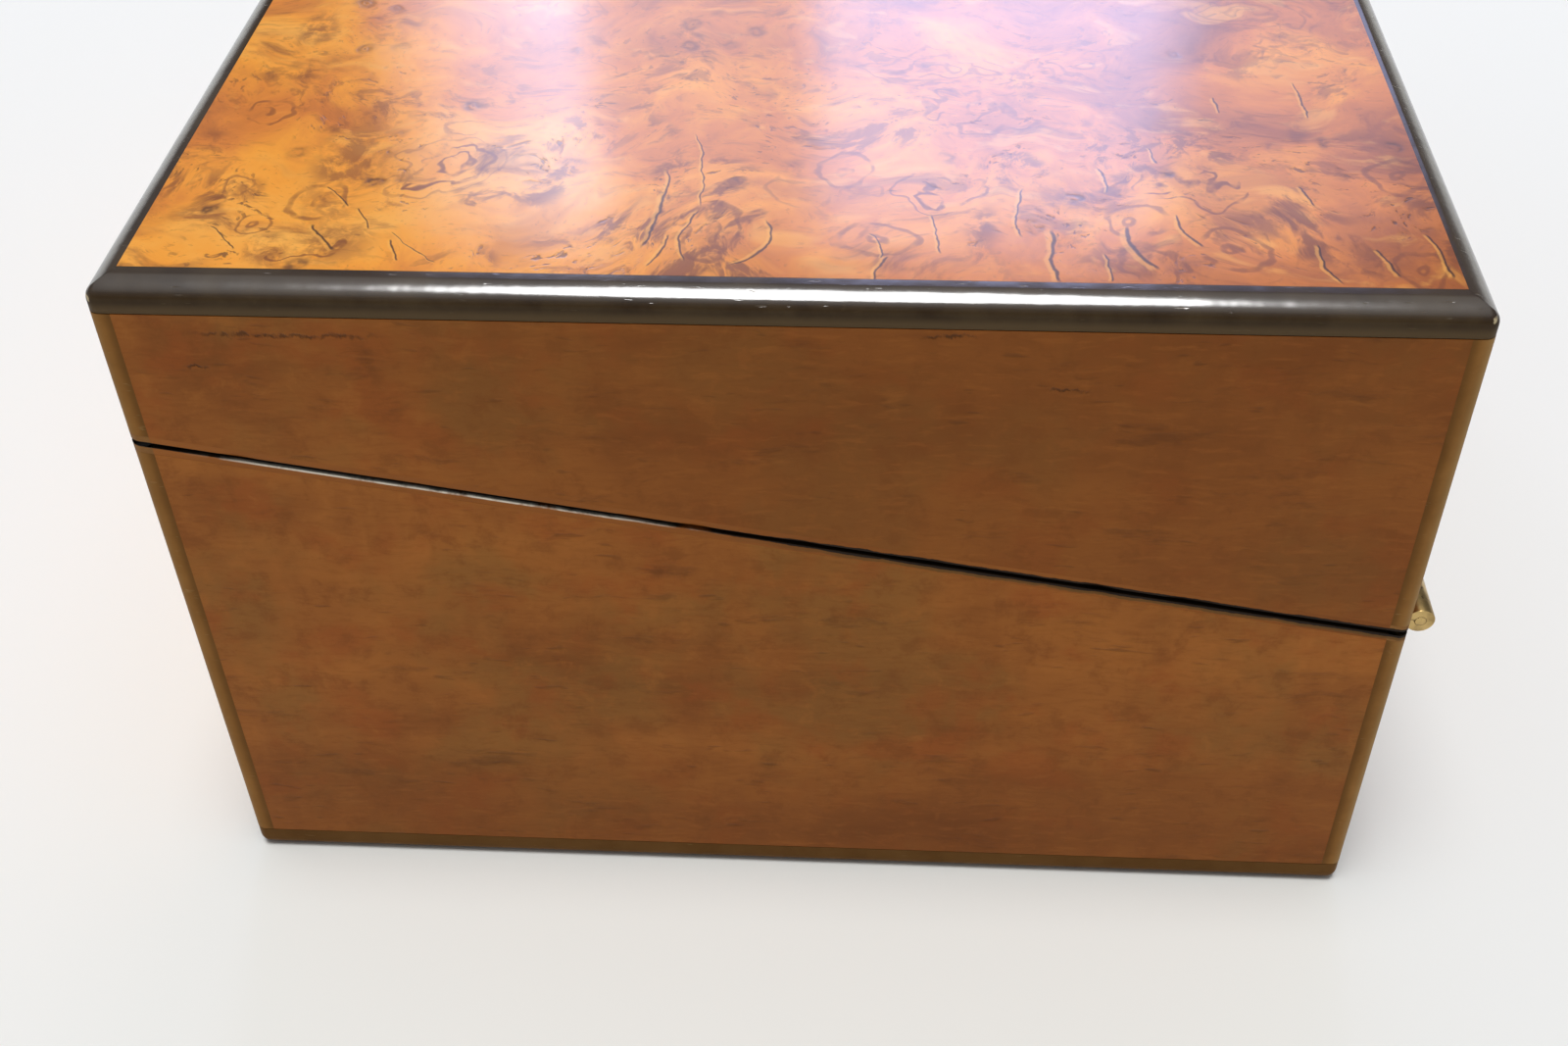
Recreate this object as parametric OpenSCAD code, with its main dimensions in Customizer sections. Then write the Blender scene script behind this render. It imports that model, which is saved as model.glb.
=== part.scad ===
// A walnut writing slope, closed. X runs along the hinge, the lock side faces -Y, the hinge side +Y.
// The origin is the centre of the underside. The lid and the base part on one slanting plane that
// passes through the hinge axis, so the open lid carries on the slope of the base down to the table.

/* [Box] */
// Length of the box along its hinge
box_l = 350; // [300:1:420]
// Depth of the box from the lock side to the hinge side
box_d = 240; // [220:1:280]
// Height of the closed box
box_h = 152; // [148:1:180]
// Rise of the split from the hinge axis to the lock side
slope_rise = 41.5; // [34:0.5:44]
// Dark gap between the rims of the closed box
seam_gap = 1.0; // [0.6:0.1:1.4]
// Thickness of a side with its veneer
wall_t = 9; // [8:0.5:11]
// Thickness of the show veneers
veneer_t = 1; // [0.6:0.1:1.4]
// Thickness of the bottom board with its baize
bottom_t = 6; // [5:0.5:8]
// Thickness of the baize under the bottom
baize_t = 0.8; // [0.4:0.1:1.2]

/* [Edging] */
// Height of the dark edging round the top
top_edge_h = 6; // [5:0.5:8]
// Width of the top edging along the two ends
top_edge_end_w = 6; // [5.2:0.2:7.6]
// Width of the top edging along the front and the back
top_edge_side_w = 5; // [4.8:0.2:7.6]
// Radius of the rounded upper edge
top_edge_r = 4.5; // [2:0.5:4.5]
// Height and width of the dark edging round the bottom
bottom_edge_w = 6; // [5:0.5:7.5]
// Radius of the rounded lower edge
bottom_edge_r = 3; // [1:0.5:4]
// Width of the dark strips let into the upright corners
corner_w = 4.2; // [3.6:0.1:6]
// Radius of the upright corners
corner_r = 2.2; // [1:0.2:3.4]
// Thickness of the dark facing on the rim of the base
base_facing_t = 1.6; // [1.4:0.1:2.4]
// Thickness of the dark facing on the rim of the lid
lid_facing_t = 1.4; // [1.4:0.1:2.4]

/* [Main hinge] */
// Radius of the long hinge's knuckles
knuckle_r = 2.8; // [2.4:0.1:3.4]
// Number of knuckles, base and lid by turns
knuckle_count = 27; // [15:2:35]
// Distance from each end of the box to the hinge
hinge_inset = 4.5; // [4:0.5:20]
// Thickness of a hinge leaf
leaf_t = 1; // [0.8:0.1:1.2]
// Radius of the hinge pin
pin_r = 1.1; // [0.8:0.1:1.4]
// Number of screws in each long leaf
hinge_screws = 12; // [6:1:14]

/* [Writing flaps] */
// Thickness of a writing flap
flap_t = 7; // [6:0.5:8]
// Depth of the writing surface below the rim
flap_recess = 2; // [1.8:0.1:2.6]
// Wooden margin round the leather
leather_margin = 14; // [12.5:0.5:24]
// Thickness of the leather
leather_t = 0.8; // [0.5:0.1:1.4]
// Width of the fixed rail that each flap is hinged to
rail_w = 12; // [11.5:0.5:16]
// Depth of the fixed rail
rail_h = 12; // [9:0.5:14]
// Width and depth of the ledges that carry the flaps
ledge_w = 6; // [4:0.5:10]
// Length of a small flap hinge
flap_hinge_l = 30; // [24:1:40]
// Distance of the small hinges from the middle
flap_hinge_x = 95; // [50:1:115]
// Knuckle radius of a small flap hinge
flap_knuckle_r = 1.4; // [1.2:0.1:1.5]
// Width of a small hinge leaf
flap_leaf_w = 9.5; // [8:0.5:10.5]
// Width of the leather pull tab on the lid's flap
tab_w = 14; // [8:1:24]

/* [Pen and ink space] */
// Clear depth of the space behind the lock side
till_d = 45; // [42:1:52]
// Thickness of the partition behind that space
partition_t = 5; // [4:0.5:7]
// Clear length of each ink cell
ink_cell_l = 38; // [36:1:50]
// Thickness of the ink cell dividers
divider_t = 4; // [3:0.5:6]
// Height of the lift-out pen tray
tray_h = 16; // [13:1:24]
// Radius of the pen trough
trough_r = 22; // [14:1:24]
// Depth of the pen trough
trough_depth = 10; // [6:0.5:11]
// Side of a square ink bottle
bottle_w = 32; // [26:1:34]
// Height of the bottle's square body
bottle_h = 34; // [28:1:40]
// Radius of the bottle's neck
neck_r = 9; // [7:0.5:11]
// Radius of the brass cap
cap_r = 12; // [11.8:0.1:13]

/* [Lock] */
// Length of the lock's case
lock_l = 46; // [44:1:60]
// Height of the lock's case
lock_h = 33; // [30:1:40]
// Depth of the lock's case into the front wall
lock_d = 6.5; // [6.3:0.1:6.6]
// Travel of the bolt
bolt_travel = 3.6; // [2.4:0.2:3.8]
// Thickness of the bolt
bolt_t = 2.6; // [2:0.1:2.8]
// Thickness of the brass lock plate and strike plate
plate_t = 1.2; // [1:0.1:1.4]

/* [Hidden] */
$fn = 48;

// Colours as the photograph shows them
burr = [0.88, 0.58, 0.24];
walnut = [0.42, 0.26, 0.15];
ebonised = [0.22, 0.17, 0.12];
carcass = [0.62, 0.45, 0.28];
inner_wood = [0.45, 0.27, 0.15];
brass = [0.80, 0.62, 0.28];
leather = [0.12, 0.24, 0.17];
baize = [0.10, 0.30, 0.20];
glass = [0.80, 0.88, 0.88];
iron = [0.45, 0.44, 0.43];

// Half sizes and the faces of the hollow
half_l = box_l / 2;
half_d = box_d / 2;
inner_l = half_l - wall_t;
inner_d = half_d - wall_t;
reach = 4 * box_l;
base_top_z = bottom_edge_w;
lid_roof_z = box_h - top_edge_h;

// The hinge axis lies half way up, so that the open lid comes to rest on the table
knuckle_gap = 0.2;
hinge_y = half_d + knuckle_r + knuckle_gap;
hinge_z = box_h / 2;
slope_deg = atan(slope_rise / (hinge_y + half_d));
rim_w = seam_gap / 2;
base_cut_w = rim_w + base_facing_t;
lid_cut_w = rim_w + lid_facing_t;
mitre_gap = 0.06;

// Long hinge
hinge_l = box_l - 2 * hinge_inset;
knuckle_l = hinge_l / knuckle_count;
knuckle_end_gap = 0.08;
pin_clear = 0.05;
leaf_gap = 0.1;
leaf_w = wall_t + knuckle_r;
screw_u = -(knuckle_r + knuckle_gap + wall_t / 2);

// Countersunk screws
head_r = 1.9;
head_h = 0.9;
shank_r = 0.9;
screw_clear = 0.05;
long_screw = 9;
short_screw = 5;
slot_w = 0.5;
slot_d = 0.4;

// Flaps, in the plane of the slope
flap_fit = 0.5;
surface_w = -flap_recess;
flap_back_w = surface_w - flap_t;
ledge_top_w = flap_back_w - 0.1;
flap_u = slope_u(inner_d, surface_w) - rail_w;
edge_gap = 0.25;
flap_pin_r = 0.6;
flap_leaf_t = 0.8;
flap_screw_x = 9;
flap_screw_u = 6;
leaf_fit = 0.1;
flap_half_l = inner_l - flap_fit;

// Pen and ink space behind the lock side
till_front_y = -inner_d;
partition_y = till_front_y + till_d;
partition_back_y = partition_y + partition_t;
till_rim_z = split_z(partition_y);
tray_top_z = till_rim_z - 6;
tray_bottom_z = tray_top_z - tray_h;
tray_fit = 0.4;
divider_x = inner_l - ink_cell_l - divider_t;
cleat_t = 4;
cleat_h = 6;
cell_floor_t = 4;
cap_h = 9;
bottle_neck_h = 5;
cap_headroom = 1.4;
cell_floor_z = tray_top_z - cap_headroom - cap_h - bottle_h - cell_floor_t;
cell_x = inner_l - ink_cell_l / 2;
cell_y = till_front_y + till_d / 2;
bottle_base_z = cell_floor_z + cell_floor_t;
bottle_wall = 3.5;
neck_bore_r = neck_r - 2.5;
cap_wall = 1.2;
cap_fit = 0.3;

// Lock, let into the front wall from inside
lock_outer_y = till_front_y - lock_d;
lock_wall = 1.2;
bolt_y = (lock_outer_y + till_front_y) / 2;
bolt_rim_z = split_z(bolt_y);
lock_bottom_z = split_z(till_front_y) - lock_h;
plate_l = lock_l + 18;
plate_w = 7;
plate_u = slope_u(-half_d + veneer_t + (wall_t - veneer_t) / 2, 0);
plate_screw_x = lock_l / 2 + 5;
hook_t = 1.8;
hook_depth = 7;
hook_shank_l = 3.5;
hook_toe_l = bolt_travel;
hook_toe_h = 2.2;
hook_y = bolt_y + hook_depth * sin(slope_deg) / 2;
hook_u = slope_u(hook_y, 0);
bolt_clear = 0.5;
bolt_overhang = hook_toe_l + 0.2;
bolt_post_l = 3;
bolt_top = 2.4;
bolt_over_h = 1.8;
bolt_bar_top = 8.2;
bolt_bar_h = 5;
bolt_end_gap = 0.9;
bolt_tail = 5;
bolt_bar_x = -lock_l / 2 + lock_wall + bolt_end_gap;
hook_x = -(bolt_bar_x + bolt_post_l + bolt_overhang + bolt_clear + hook_toe_l);
bolt_bar_l = hook_x + bolt_tail - bolt_bar_x;
keyhole_drop = 22;
keyhole_z = bolt_rim_z - keyhole_drop;
keyhole_r = 2.4;
keyhole_leg_w = 2.2;
keyhole_leg_h = 7;
escutcheon_rim = 2.4;
escutcheon_t = 1.6;
key_pin_r = 1.1;

// Height of the split plane at a depth y
function split_z(y) = hinge_z + (hinge_y - y) * tan(slope_deg);
// Place along the slope, from the hinge axis, of a depth y at a height w off the split plane
function slope_u(y, w) = (y - hinge_y - w * sin(slope_deg)) / cos(slope_deg);

// The frame of the slope: X along the hinge, Y down the slope to the hinge axis, Z square to it
module on_slope() translate([0, hinge_y, hinge_z]) rotate([-slope_deg, 0, 0]) children();

// The same frame turned over for the lid, so that both halves are drawn as if they were the base
module half_frame(lid) on_slope() mirror([0, 0, lid ? 1 : 0]) children();

module slope_slab(low, high) on_slope() translate([-reach, -reach, low])
  cube([2 * reach, 2 * reach, high - low]);

module below_split(drop) slope_slab(-reach, -drop);

module above_split(rise) slope_slab(rise, reach);

module rounded_plan(l, d, r) {
  square([l - 2 * r, d], center = true);
  square([l, d - 2 * r], center = true);
  for (x = [-1, 1], y = [-1, 1])
    translate([x * (l / 2 - r), y * (d / 2 - r)]) circle(r);
}

module outer_block() linear_extrude(box_h) rounded_plan(box_l, box_d, corner_r);

module corner_posts(low, high) {
  for (x = [-1, 1], y = [-1, 1])
    translate([x * (half_l - corner_w / 2), y * (half_d - corner_w / 2), (low + high) / 2])
      cube([corner_w, corner_w, high - low], center = true);
}

// Section of an edging strip: the outer face at x = 0, the rounded edge uppermost
module edging_section(w, h, r) {
  translate([-w, 0]) square([w - r, h]);
  translate([-w, 0]) square([w, h - r]);
  translate([-r, h - r]) circle(r);
}

// Four mitred strips round the box, the rounded edge uppermost
module edging_frame(end_w, side_w, h, r) {
  for (s = [-1, 1]) {
    intersection() {
      linear_extrude(h) polygon([
        [s * half_l, -half_d + mitre_gap], [s * half_l, half_d - mitre_gap],
        [s * (half_l - end_w), half_d - side_w - mitre_gap],
        [s * (half_l - end_w), -half_d + side_w + mitre_gap]
      ]);
      mirror([s < 0 ? 1 : 0, 0, 0]) translate([half_l, half_d, 0]) rotate([90, 0, 0])
        linear_extrude(box_d) edging_section(end_w, h, r);
      outer_block();
    }
    intersection() {
      linear_extrude(h) polygon([
        [-half_l, s * half_d], [half_l, s * half_d],
        [half_l - end_w, s * (half_d - side_w)], [-half_l + end_w, s * (half_d - side_w)]
      ]);
      mirror([0, s < 0 ? 1 : 0, 0]) translate([-half_l, half_d, 0]) rotate([90, 0, 90])
        linear_extrude(box_l) edging_section(side_w, h, r);
      outer_block();
    }
  }
}

// Four mitred strips that face a rim, between two heights off the split plane
module facing_frame(low, high) {
  for (s = [-1, 1]) {
    intersection() {
      linear_extrude(box_h) polygon([
        [s * half_l, -half_d + mitre_gap], [s * half_l, half_d - mitre_gap],
        [s * inner_l, inner_d - mitre_gap], [s * inner_l, -inner_d + mitre_gap]
      ]);
      slope_slab(low, high);
      outer_block();
    }
    intersection() {
      linear_extrude(box_h) polygon([
        [-half_l, s * half_d], [half_l, s * half_d], [inner_l, s * inner_d], [-inner_l, s * inner_d]
      ]);
      slope_slab(low, high);
      outer_block();
    }
  }
}

// Full height blanks, which the two halves cut at the split
module long_wall_blank(side, low, high) {
  difference() {
    translate([-(half_l - veneer_t), side > 0 ? inner_d : -(half_d - veneer_t), low])
      cube([box_l - 2 * veneer_t, wall_t - veneer_t, high - low]);
    corner_posts(low - 1, high + 1);
  }
}

module end_wall_blank(side, low, high)
  translate([side > 0 ? inner_l : -(half_l - veneer_t), -inner_d, low])
    cube([wall_t - veneer_t, 2 * inner_d, high - low]);

module long_veneer_blank(side, low, high)
  translate([-(half_l - corner_w), side > 0 ? half_d - veneer_t : -half_d, low])
    cube([box_l - 2 * corner_w, veneer_t, high - low]);

module end_veneer_blank(side, low, high)
  translate([side > 0 ? half_l - veneer_t : -half_l, -(half_d - corner_w), low])
    cube([veneer_t, box_d - 2 * corner_w, high - low]);

module base_piece() intersection() {
  children();
  below_split(base_cut_w);
}

module lid_piece() intersection() {
  children();
  above_split(lid_cut_w);
}

// Countersunk screw with its head at z = 0 and its point below
module screw(length) {
  difference() {
    screw_body(length, 0);
    translate([-head_r - 1, -slot_w / 2, -slot_d]) cube([2 * head_r + 2, slot_w, slot_d + 1]);
  }
}

module screw_body(length, clear) {
  translate([0, 0, -head_h]) cylinder(h = head_h, r1 = shank_r + clear, r2 = head_r + clear);
  translate([0, 0, -length + shank_r - clear])
    cylinder(h = length - shank_r - head_h + clear, r = shank_r + clear);
  translate([0, 0, -length - clear]) cylinder(h = shank_r, r1 = 0.2, r2 = shank_r + clear);
}

// Places of the screws, in the frame of one half
module at_hinge_screws() {
  pitch = hinge_l / hinge_screws;
  for (i = [0 : hinge_screws - 1])
    translate([-hinge_l / 2 + pitch * (i + 0.5), screw_u, -leaf_gap]) children();
}

module at_plate_screws() {
  for (x = [-1, 1]) translate([x * plate_screw_x, plate_u, -rim_w]) children();
}

module at_flap_screws(side) {
  for (h = [-1, 1], x = [-1, 1])
    translate([h * flap_hinge_x + x * flap_screw_x, flap_u + side * flap_screw_u, surface_w])
      children();
}

module long_knuckles(parity, r, gap) {
  for (i = [parity : 2 : knuckle_count - 1])
    translate([-hinge_l / 2 + i * knuckle_l + gap, 0, 0]) rotate([0, 90, 0])
      cylinder(h = knuckle_l - 2 * gap, r = r);
}

// One leaf of the long hinge: parity 0 carries the end knuckles
module long_leaf(parity) {
  difference() {
    union() {
      translate([-hinge_l / 2, -leaf_w, -(leaf_gap + leaf_t)]) cube([hinge_l, leaf_w, leaf_t]);
      long_knuckles(parity, knuckle_r, 0);
    }
    long_knuckles(1 - parity, knuckle_r + knuckle_gap, -knuckle_end_gap);
    translate([-hinge_l / 2 - 1, 0, 0]) rotate([0, 90, 0])
      cylinder(h = hinge_l + 2, r = pin_r + pin_clear);
    at_hinge_screws() screw_body(long_screw, screw_clear);
  }
}

// Recess for a long leaf, in the frame of one half
module long_leaf_recess()
  translate([-hinge_l / 2 - leaf_fit, -leaf_w - leaf_fit, -(leaf_gap + leaf_t)])
    cube([hinge_l + 2 * leaf_fit, leaf_w + reach, leaf_t + seam_gap]);

module flap_knuckle(index, r, gap) {
  part_l = flap_hinge_l / 3;
  translate([-flap_hinge_l / 2 + index * part_l + gap, 0, 0]) rotate([0, 90, 0])
    cylinder(h = part_l - 2 * gap, r = r);
}

// Fixed leaf of a small hinge, with the two outer knuckles
module flap_seat() {
  difference() {
    union() {
      translate([-flap_hinge_l / 2, 0, -flap_leaf_t])
        cube([flap_hinge_l, flap_leaf_w, flap_leaf_t]);
      for (i = [0, 2]) flap_knuckle(i, flap_knuckle_r, 0);
    }
    flap_knuckle(1, flap_knuckle_r + knuckle_gap, -knuckle_end_gap);
    flap_bore();
  }
}

// Moving leaf of a small hinge, with the middle knuckle
module flap_leaf() {
  difference() {
    union() {
      translate([-flap_hinge_l / 2, -flap_leaf_w, -flap_leaf_t])
        cube([flap_hinge_l, flap_leaf_w, flap_leaf_t]);
      flap_knuckle(1, flap_knuckle_r, 0);
    }
    for (i = [0, 2]) flap_knuckle(i, flap_knuckle_r + knuckle_gap, -knuckle_end_gap);
    flap_bore();
  }
}

module flap_bore() translate([-flap_hinge_l / 2 - 1, 0, 0]) rotate([0, 90, 0])
  cylinder(h = flap_hinge_l + 2, r = flap_pin_r + pin_clear);

module at_flap_hinges() {
  for (h = [-1, 1]) translate([h * flap_hinge_x, flap_u, surface_w]) children();
}

// Housing of a small hinge: a groove for the knuckles and a recess for both leaves
module flap_hinge_housing() {
  groove_l = flap_hinge_l + 2 * leaf_fit;
  at_flap_hinges() {
    translate([-groove_l / 2, 0, 0]) rotate([0, 90, 0])
      cylinder(h = groove_l, r = flap_knuckle_r + knuckle_gap);
    translate([-groove_l / 2, -flap_leaf_w - leaf_fit, -flap_leaf_t])
      cube([groove_l, 2 * (flap_leaf_w + leaf_fit), flap_leaf_t + 1]);
  }
}

// Writing flap in the frame of one half, from its free edge to its hinged edge
module flap_panel(free_u) {
  leather_u = free_u + leather_margin;
  leather_d = flap_u - leather_margin - leather_u;
  difference() {
    translate([-flap_half_l, free_u, flap_back_w])
      cube([2 * flap_half_l, flap_u - edge_gap - free_u, flap_t]);
    translate([-flap_half_l + leather_margin, leather_u, surface_w - leather_t])
      cube([2 * (flap_half_l - leather_margin), leather_d, leather_t + 1]);
    flap_hinge_housing();
    at_flap_screws(-1) screw_body(short_screw, screw_clear);
  }
}

module flap_skin(free_u) {
  skin_fit = 0.2;
  inset = leather_margin + skin_fit;
  translate([-flap_half_l + inset, free_u + inset, surface_w - leather_t])
    cube([2 * (flap_half_l - inset), flap_u - free_u - 2 * inset, leather_t]);
}

// Rail behind a flap, against the back wall
module hinge_rail(lid) {
  difference() {
    intersection() {
      half_frame(lid) translate([-inner_l, flap_u + edge_gap, surface_w - rail_h])
        cube([2 * inner_l, reach, rail_h]);
      translate([-reach, -reach, 0]) cube([2 * reach, reach + inner_d, box_h]);
    }
    half_frame(lid) flap_hinge_housing();
    half_frame(lid) at_flap_screws(1) screw_body(short_screw, screw_clear);
  }
}

// Ledge under a flap along one end wall, starting at a depth y
module side_ledge(lid, side, start_y) {
  intersection() {
    half_frame(lid) translate([side > 0 ? inner_l - ledge_w : -inner_l, -reach, ledge_top_w - ledge_w])
      cube([ledge_w, reach + flap_u, ledge_w]);
    translate([-reach, start_y, 0]) cube([2 * reach, reach, box_h]);
  }
}

module keyhole(grow, depth) {
  rotate([90, 0, 0]) linear_extrude(depth) {
    circle(keyhole_r + grow);
    translate([-keyhole_leg_w / 2 - grow, -keyhole_leg_h - grow])
      square([keyhole_leg_w + 2 * grow, keyhole_leg_h + grow]);
  }
}

// Recess for the brass plate in a rim, in the frame of one half
module plate_recess()
  translate([-plate_l / 2 - leaf_fit, plate_u - plate_w / 2 - leaf_fit, -(rim_w + plate_t)])
    cube([plate_l + 2 * leaf_fit, plate_w + 2 * leaf_fit, plate_t + 1]);

module brass_plate()
  translate([-plate_l / 2, plate_u - plate_w / 2, -(rim_w + plate_t)])
    cube([plate_l, plate_w, plate_t]);

// Bottom

module bottom_baize() color(baize) linear_extrude(baize_t)
  square([box_l - 2 * bottom_edge_w, box_d - 2 * bottom_edge_w], center = true);

module bottom_board() color(carcass) translate([0, 0, baize_t])
  linear_extrude(bottom_t - baize_t)
    square([box_l - 2 * bottom_edge_w, box_d - 2 * bottom_edge_w], center = true);

module bottom_edging() color(ebonised) translate([0, 0, bottom_edge_w]) mirror([0, 0, 1])
  edging_frame(bottom_edge_w, bottom_edge_w, bottom_edge_w, bottom_edge_r);

// Sides of the base

module base_front_wall() color(carcass) difference() {
  base_piece() long_wall_blank(-1, base_top_z, box_h);
  translate([-lock_l / 2 - leaf_fit, lock_outer_y - leaf_fit, lock_bottom_z - leaf_fit])
    cube([lock_l + 2 * leaf_fit, lock_d + 1, box_h]);
  half_frame(false) plate_recess();
  half_frame(false) at_plate_screws() screw_body(long_screw, screw_clear);
  translate([0, lock_outer_y + 1, keyhole_z]) keyhole(0, wall_t);
}

module base_back_wall() color(carcass) difference() {
  base_piece() long_wall_blank(1, base_top_z, box_h);
  half_frame(false) at_hinge_screws() screw_body(long_screw, screw_clear);
}

module base_left_wall() color(carcass) base_piece() end_wall_blank(-1, base_top_z, box_h);

module base_right_wall() color(carcass) base_piece() end_wall_blank(1, base_top_z, box_h);

module base_front_veneer() color(burr) difference() {
  base_piece() long_veneer_blank(-1, base_top_z, box_h);
  translate([0, -half_d + wall_t, keyhole_z]) keyhole(escutcheon_rim + leaf_fit, 2 * wall_t);
}

module base_back_veneer() color(walnut) base_piece() long_veneer_blank(1, base_top_z, box_h);

module base_left_veneer() color(walnut) base_piece() end_veneer_blank(-1, base_top_z, box_h);

module base_right_veneer() color(walnut) base_piece() end_veneer_blank(1, base_top_z, box_h);

module base_corner_edging() color(ebonised) base_piece() intersection() {
  corner_posts(base_top_z, box_h);
  outer_block();
}

module base_rim_facing() color(ebonised) difference() {
  facing_frame(-base_cut_w, -rim_w);
  half_frame(false) long_leaf_recess();
  half_frame(false) plate_recess();
  half_frame(false) at_hinge_screws() screw_body(long_screw, screw_clear);
  half_frame(false) at_plate_screws() screw_body(long_screw, screw_clear);
  translate([-lock_l / 2 - leaf_fit, lock_outer_y - leaf_fit, lock_bottom_z])
    cube([lock_l + 2 * leaf_fit, lock_d + 1, box_h]);
}

// Inside of the base

module till_partition() color(inner_wood) intersection() {
  translate([-inner_l, partition_y, bottom_t]) cube([2 * inner_l, partition_t, box_h]);
  below_split(-ledge_top_w);
}

module ink_cell_dividers() color(inner_wood) {
  for (s = [0, 1]) mirror([s, 0, 0]) translate([divider_x, till_front_y, bottom_t])
    cube([divider_t, till_d, tray_top_z + 1 - bottom_t]);
}

module ink_cell_floors() color(inner_wood) {
  for (s = [0, 1]) mirror([s, 0, 0])
    translate([divider_x + divider_t, till_front_y, cell_floor_z])
      cube([ink_cell_l, till_d, cell_floor_t]);
}

module tray_cleats() color(inner_wood) {
  for (s = [0, 1]) mirror([s, 0, 0])
    translate([divider_x - cleat_t, till_front_y, tray_bottom_z - cleat_h])
      cube([cleat_t, till_d, cleat_h]);
}

module pen_tray() color(inner_wood) {
  tray_l = 2 * (divider_x - tray_fit);
  tray_d = till_d - 2 * tray_fit;
  well_l = 34;
  well_d = 34;
  well_depth = 9;
  well_r = 4;
  rim = 5;
  trough_l = tray_l - well_l - 3 * rim;
  chord = sqrt(pow(trough_r, 2) - pow(trough_r - trough_depth, 2));
  end_run = trough_l - 2 * chord;
  trough_x = -tray_l / 2 + rim + chord;
  translate([0, cell_y, tray_top_z]) difference() {
    translate([-tray_l / 2, -tray_d / 2, -tray_h]) cube([tray_l, tray_d, tray_h]);
    translate([trough_x, 0, trough_r - trough_depth]) {
      rotate([0, 90, 0]) cylinder(h = end_run, r = trough_r);
      sphere(trough_r);
      translate([end_run, 0, 0]) sphere(trough_r);
    }
    translate([tray_l / 2 - rim - well_l / 2, 0, -well_depth])
      linear_extrude(well_depth + 1) rounded_plan(well_l, well_d, well_r);
  }
}

module ink_bottles() color(glass) {
  shoulder_r = 2.5;
  cavity_r = bottle_w / 2 - bottle_wall;
  for (s = [-1, 1]) translate([s * cell_x, cell_y, bottle_base_z]) difference() {
    union() {
      linear_extrude(bottle_h) rounded_plan(bottle_w, bottle_w, shoulder_r);
      translate([0, 0, bottle_h]) cylinder(h = bottle_neck_h, r = neck_r);
    }
    translate([0, 0, bottle_wall + 2]) cylinder(h = bottle_h - 2 * bottle_wall - 2, r = cavity_r);
    translate([0, 0, bottle_h - bottle_wall - 1])
      cylinder(h = bottle_wall + bottle_neck_h + 2, r = neck_bore_r);
  }
}

module ink_caps() color(brass) {
  skirt_h = cap_h - 3;
  for (s = [-1, 1]) translate([s * cell_x, cell_y, bottle_base_z + bottle_h]) difference() {
    union() {
      cylinder(h = skirt_h, r = cap_r);
      translate([0, 0, skirt_h]) cylinder(h = 1, r = cap_r - 0.8);
      translate([0, 0, skirt_h + 1]) cylinder(h = 1.4, r1 = cap_r - 1.4, r2 = cap_r - 3.4);
      translate([0, 0, skirt_h + 2.4]) cylinder(h = 0.6, r = 3);
    }
    translate([0, 0, -1]) cylinder(h = bottle_neck_h + cap_fit + 1, r = neck_r + cap_fit);
  }
}

module base_flap_ledges() color(inner_wood)
  for (s = [-1, 1]) side_ledge(false, s, partition_back_y);

module base_hinge_rail() color(inner_wood) hinge_rail(false);

// Lock

module lock_case() color(iron) {
  shelf_l = 9;
  shelf_h = 1.5;
  cavity_l = lock_l - 2 * lock_wall;
  cavity_y = lock_outer_y + lock_wall;
  cavity_d = lock_d - 2 * lock_wall;
  shelf_z = bolt_rim_z - bolt_bar_top - bolt_bar_h - shelf_h - 0.15;
  difference() {
    intersection() {
      translate([-lock_l / 2, lock_outer_y, lock_bottom_z]) cube([lock_l, lock_d, box_h]);
      below_split(rim_w + plate_t);
    }
    translate([-cavity_l / 2, cavity_y, lock_bottom_z + lock_wall])
      cube([cavity_l, cavity_d, box_h]);
    translate([0, cavity_y + 0.5, keyhole_z]) keyhole(0, 3);
  }
  for (s = [0, 1]) mirror([s, 0, 0]) translate([cavity_l / 2 - shelf_l, cavity_y, shelf_z])
    cube([shelf_l, cavity_d, shelf_h]);
  translate([0, cavity_y + cavity_d, keyhole_z]) rotate([90, 0, 0])
    cylinder(h = cavity_d + lock_wall + 0.8, r = key_pin_r);
}

module lock_plate() color(brass) half_frame(false) difference() {
  slot_clear = 0.5;
  brass_plate();
  for (s = [-1, 1])
    translate([s * hook_x - hook_toe_l - slot_clear, hook_u - hook_t / 2 - slot_clear, -hook_depth])
      cube([hook_shank_l + hook_toe_l + 2 * slot_clear, hook_t + 2 * slot_clear, hook_depth]);
  at_plate_screws() screw_body(long_screw, screw_clear);
}

module lock_bolt() color(iron) {
  tip_x = -hook_toe_l - bolt_clear;
  notch_l = 6;
  notch_h = 2;
  translate([0, bolt_y + bolt_t / 2, bolt_rim_z]) rotate([90, 0, 0]) linear_extrude(bolt_t) {
    difference() {
      translate([bolt_bar_x, -bolt_bar_top - bolt_bar_h]) square([bolt_bar_l, bolt_bar_h]);
      translate([-notch_l / 2, -bolt_bar_top - bolt_bar_h - 1]) square([notch_l, notch_h + 1]);
    }
    for (s = [-1, 1]) translate([s * hook_x + tip_x, 0]) {
      translate([-bolt_overhang - bolt_post_l, -bolt_bar_top - 1])
        square([bolt_post_l, bolt_bar_top + 1 - bolt_top]);
      translate([-bolt_overhang - bolt_post_l, -bolt_top - bolt_over_h])
        square([bolt_overhang + bolt_post_l, bolt_over_h]);
    }
  }
}

module keyhole_escutcheon() color(brass)
  translate([0, -half_d + escutcheon_t - (escutcheon_t - veneer_t), keyhole_z]) difference() {
    keyhole(escutcheon_rim, veneer_t);
    translate([0, 1, 0]) keyhole(0, veneer_t + 2);
  }

// Long hinge

module hinge_base_leaf() color(brass) half_frame(false) long_leaf(0);

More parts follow.
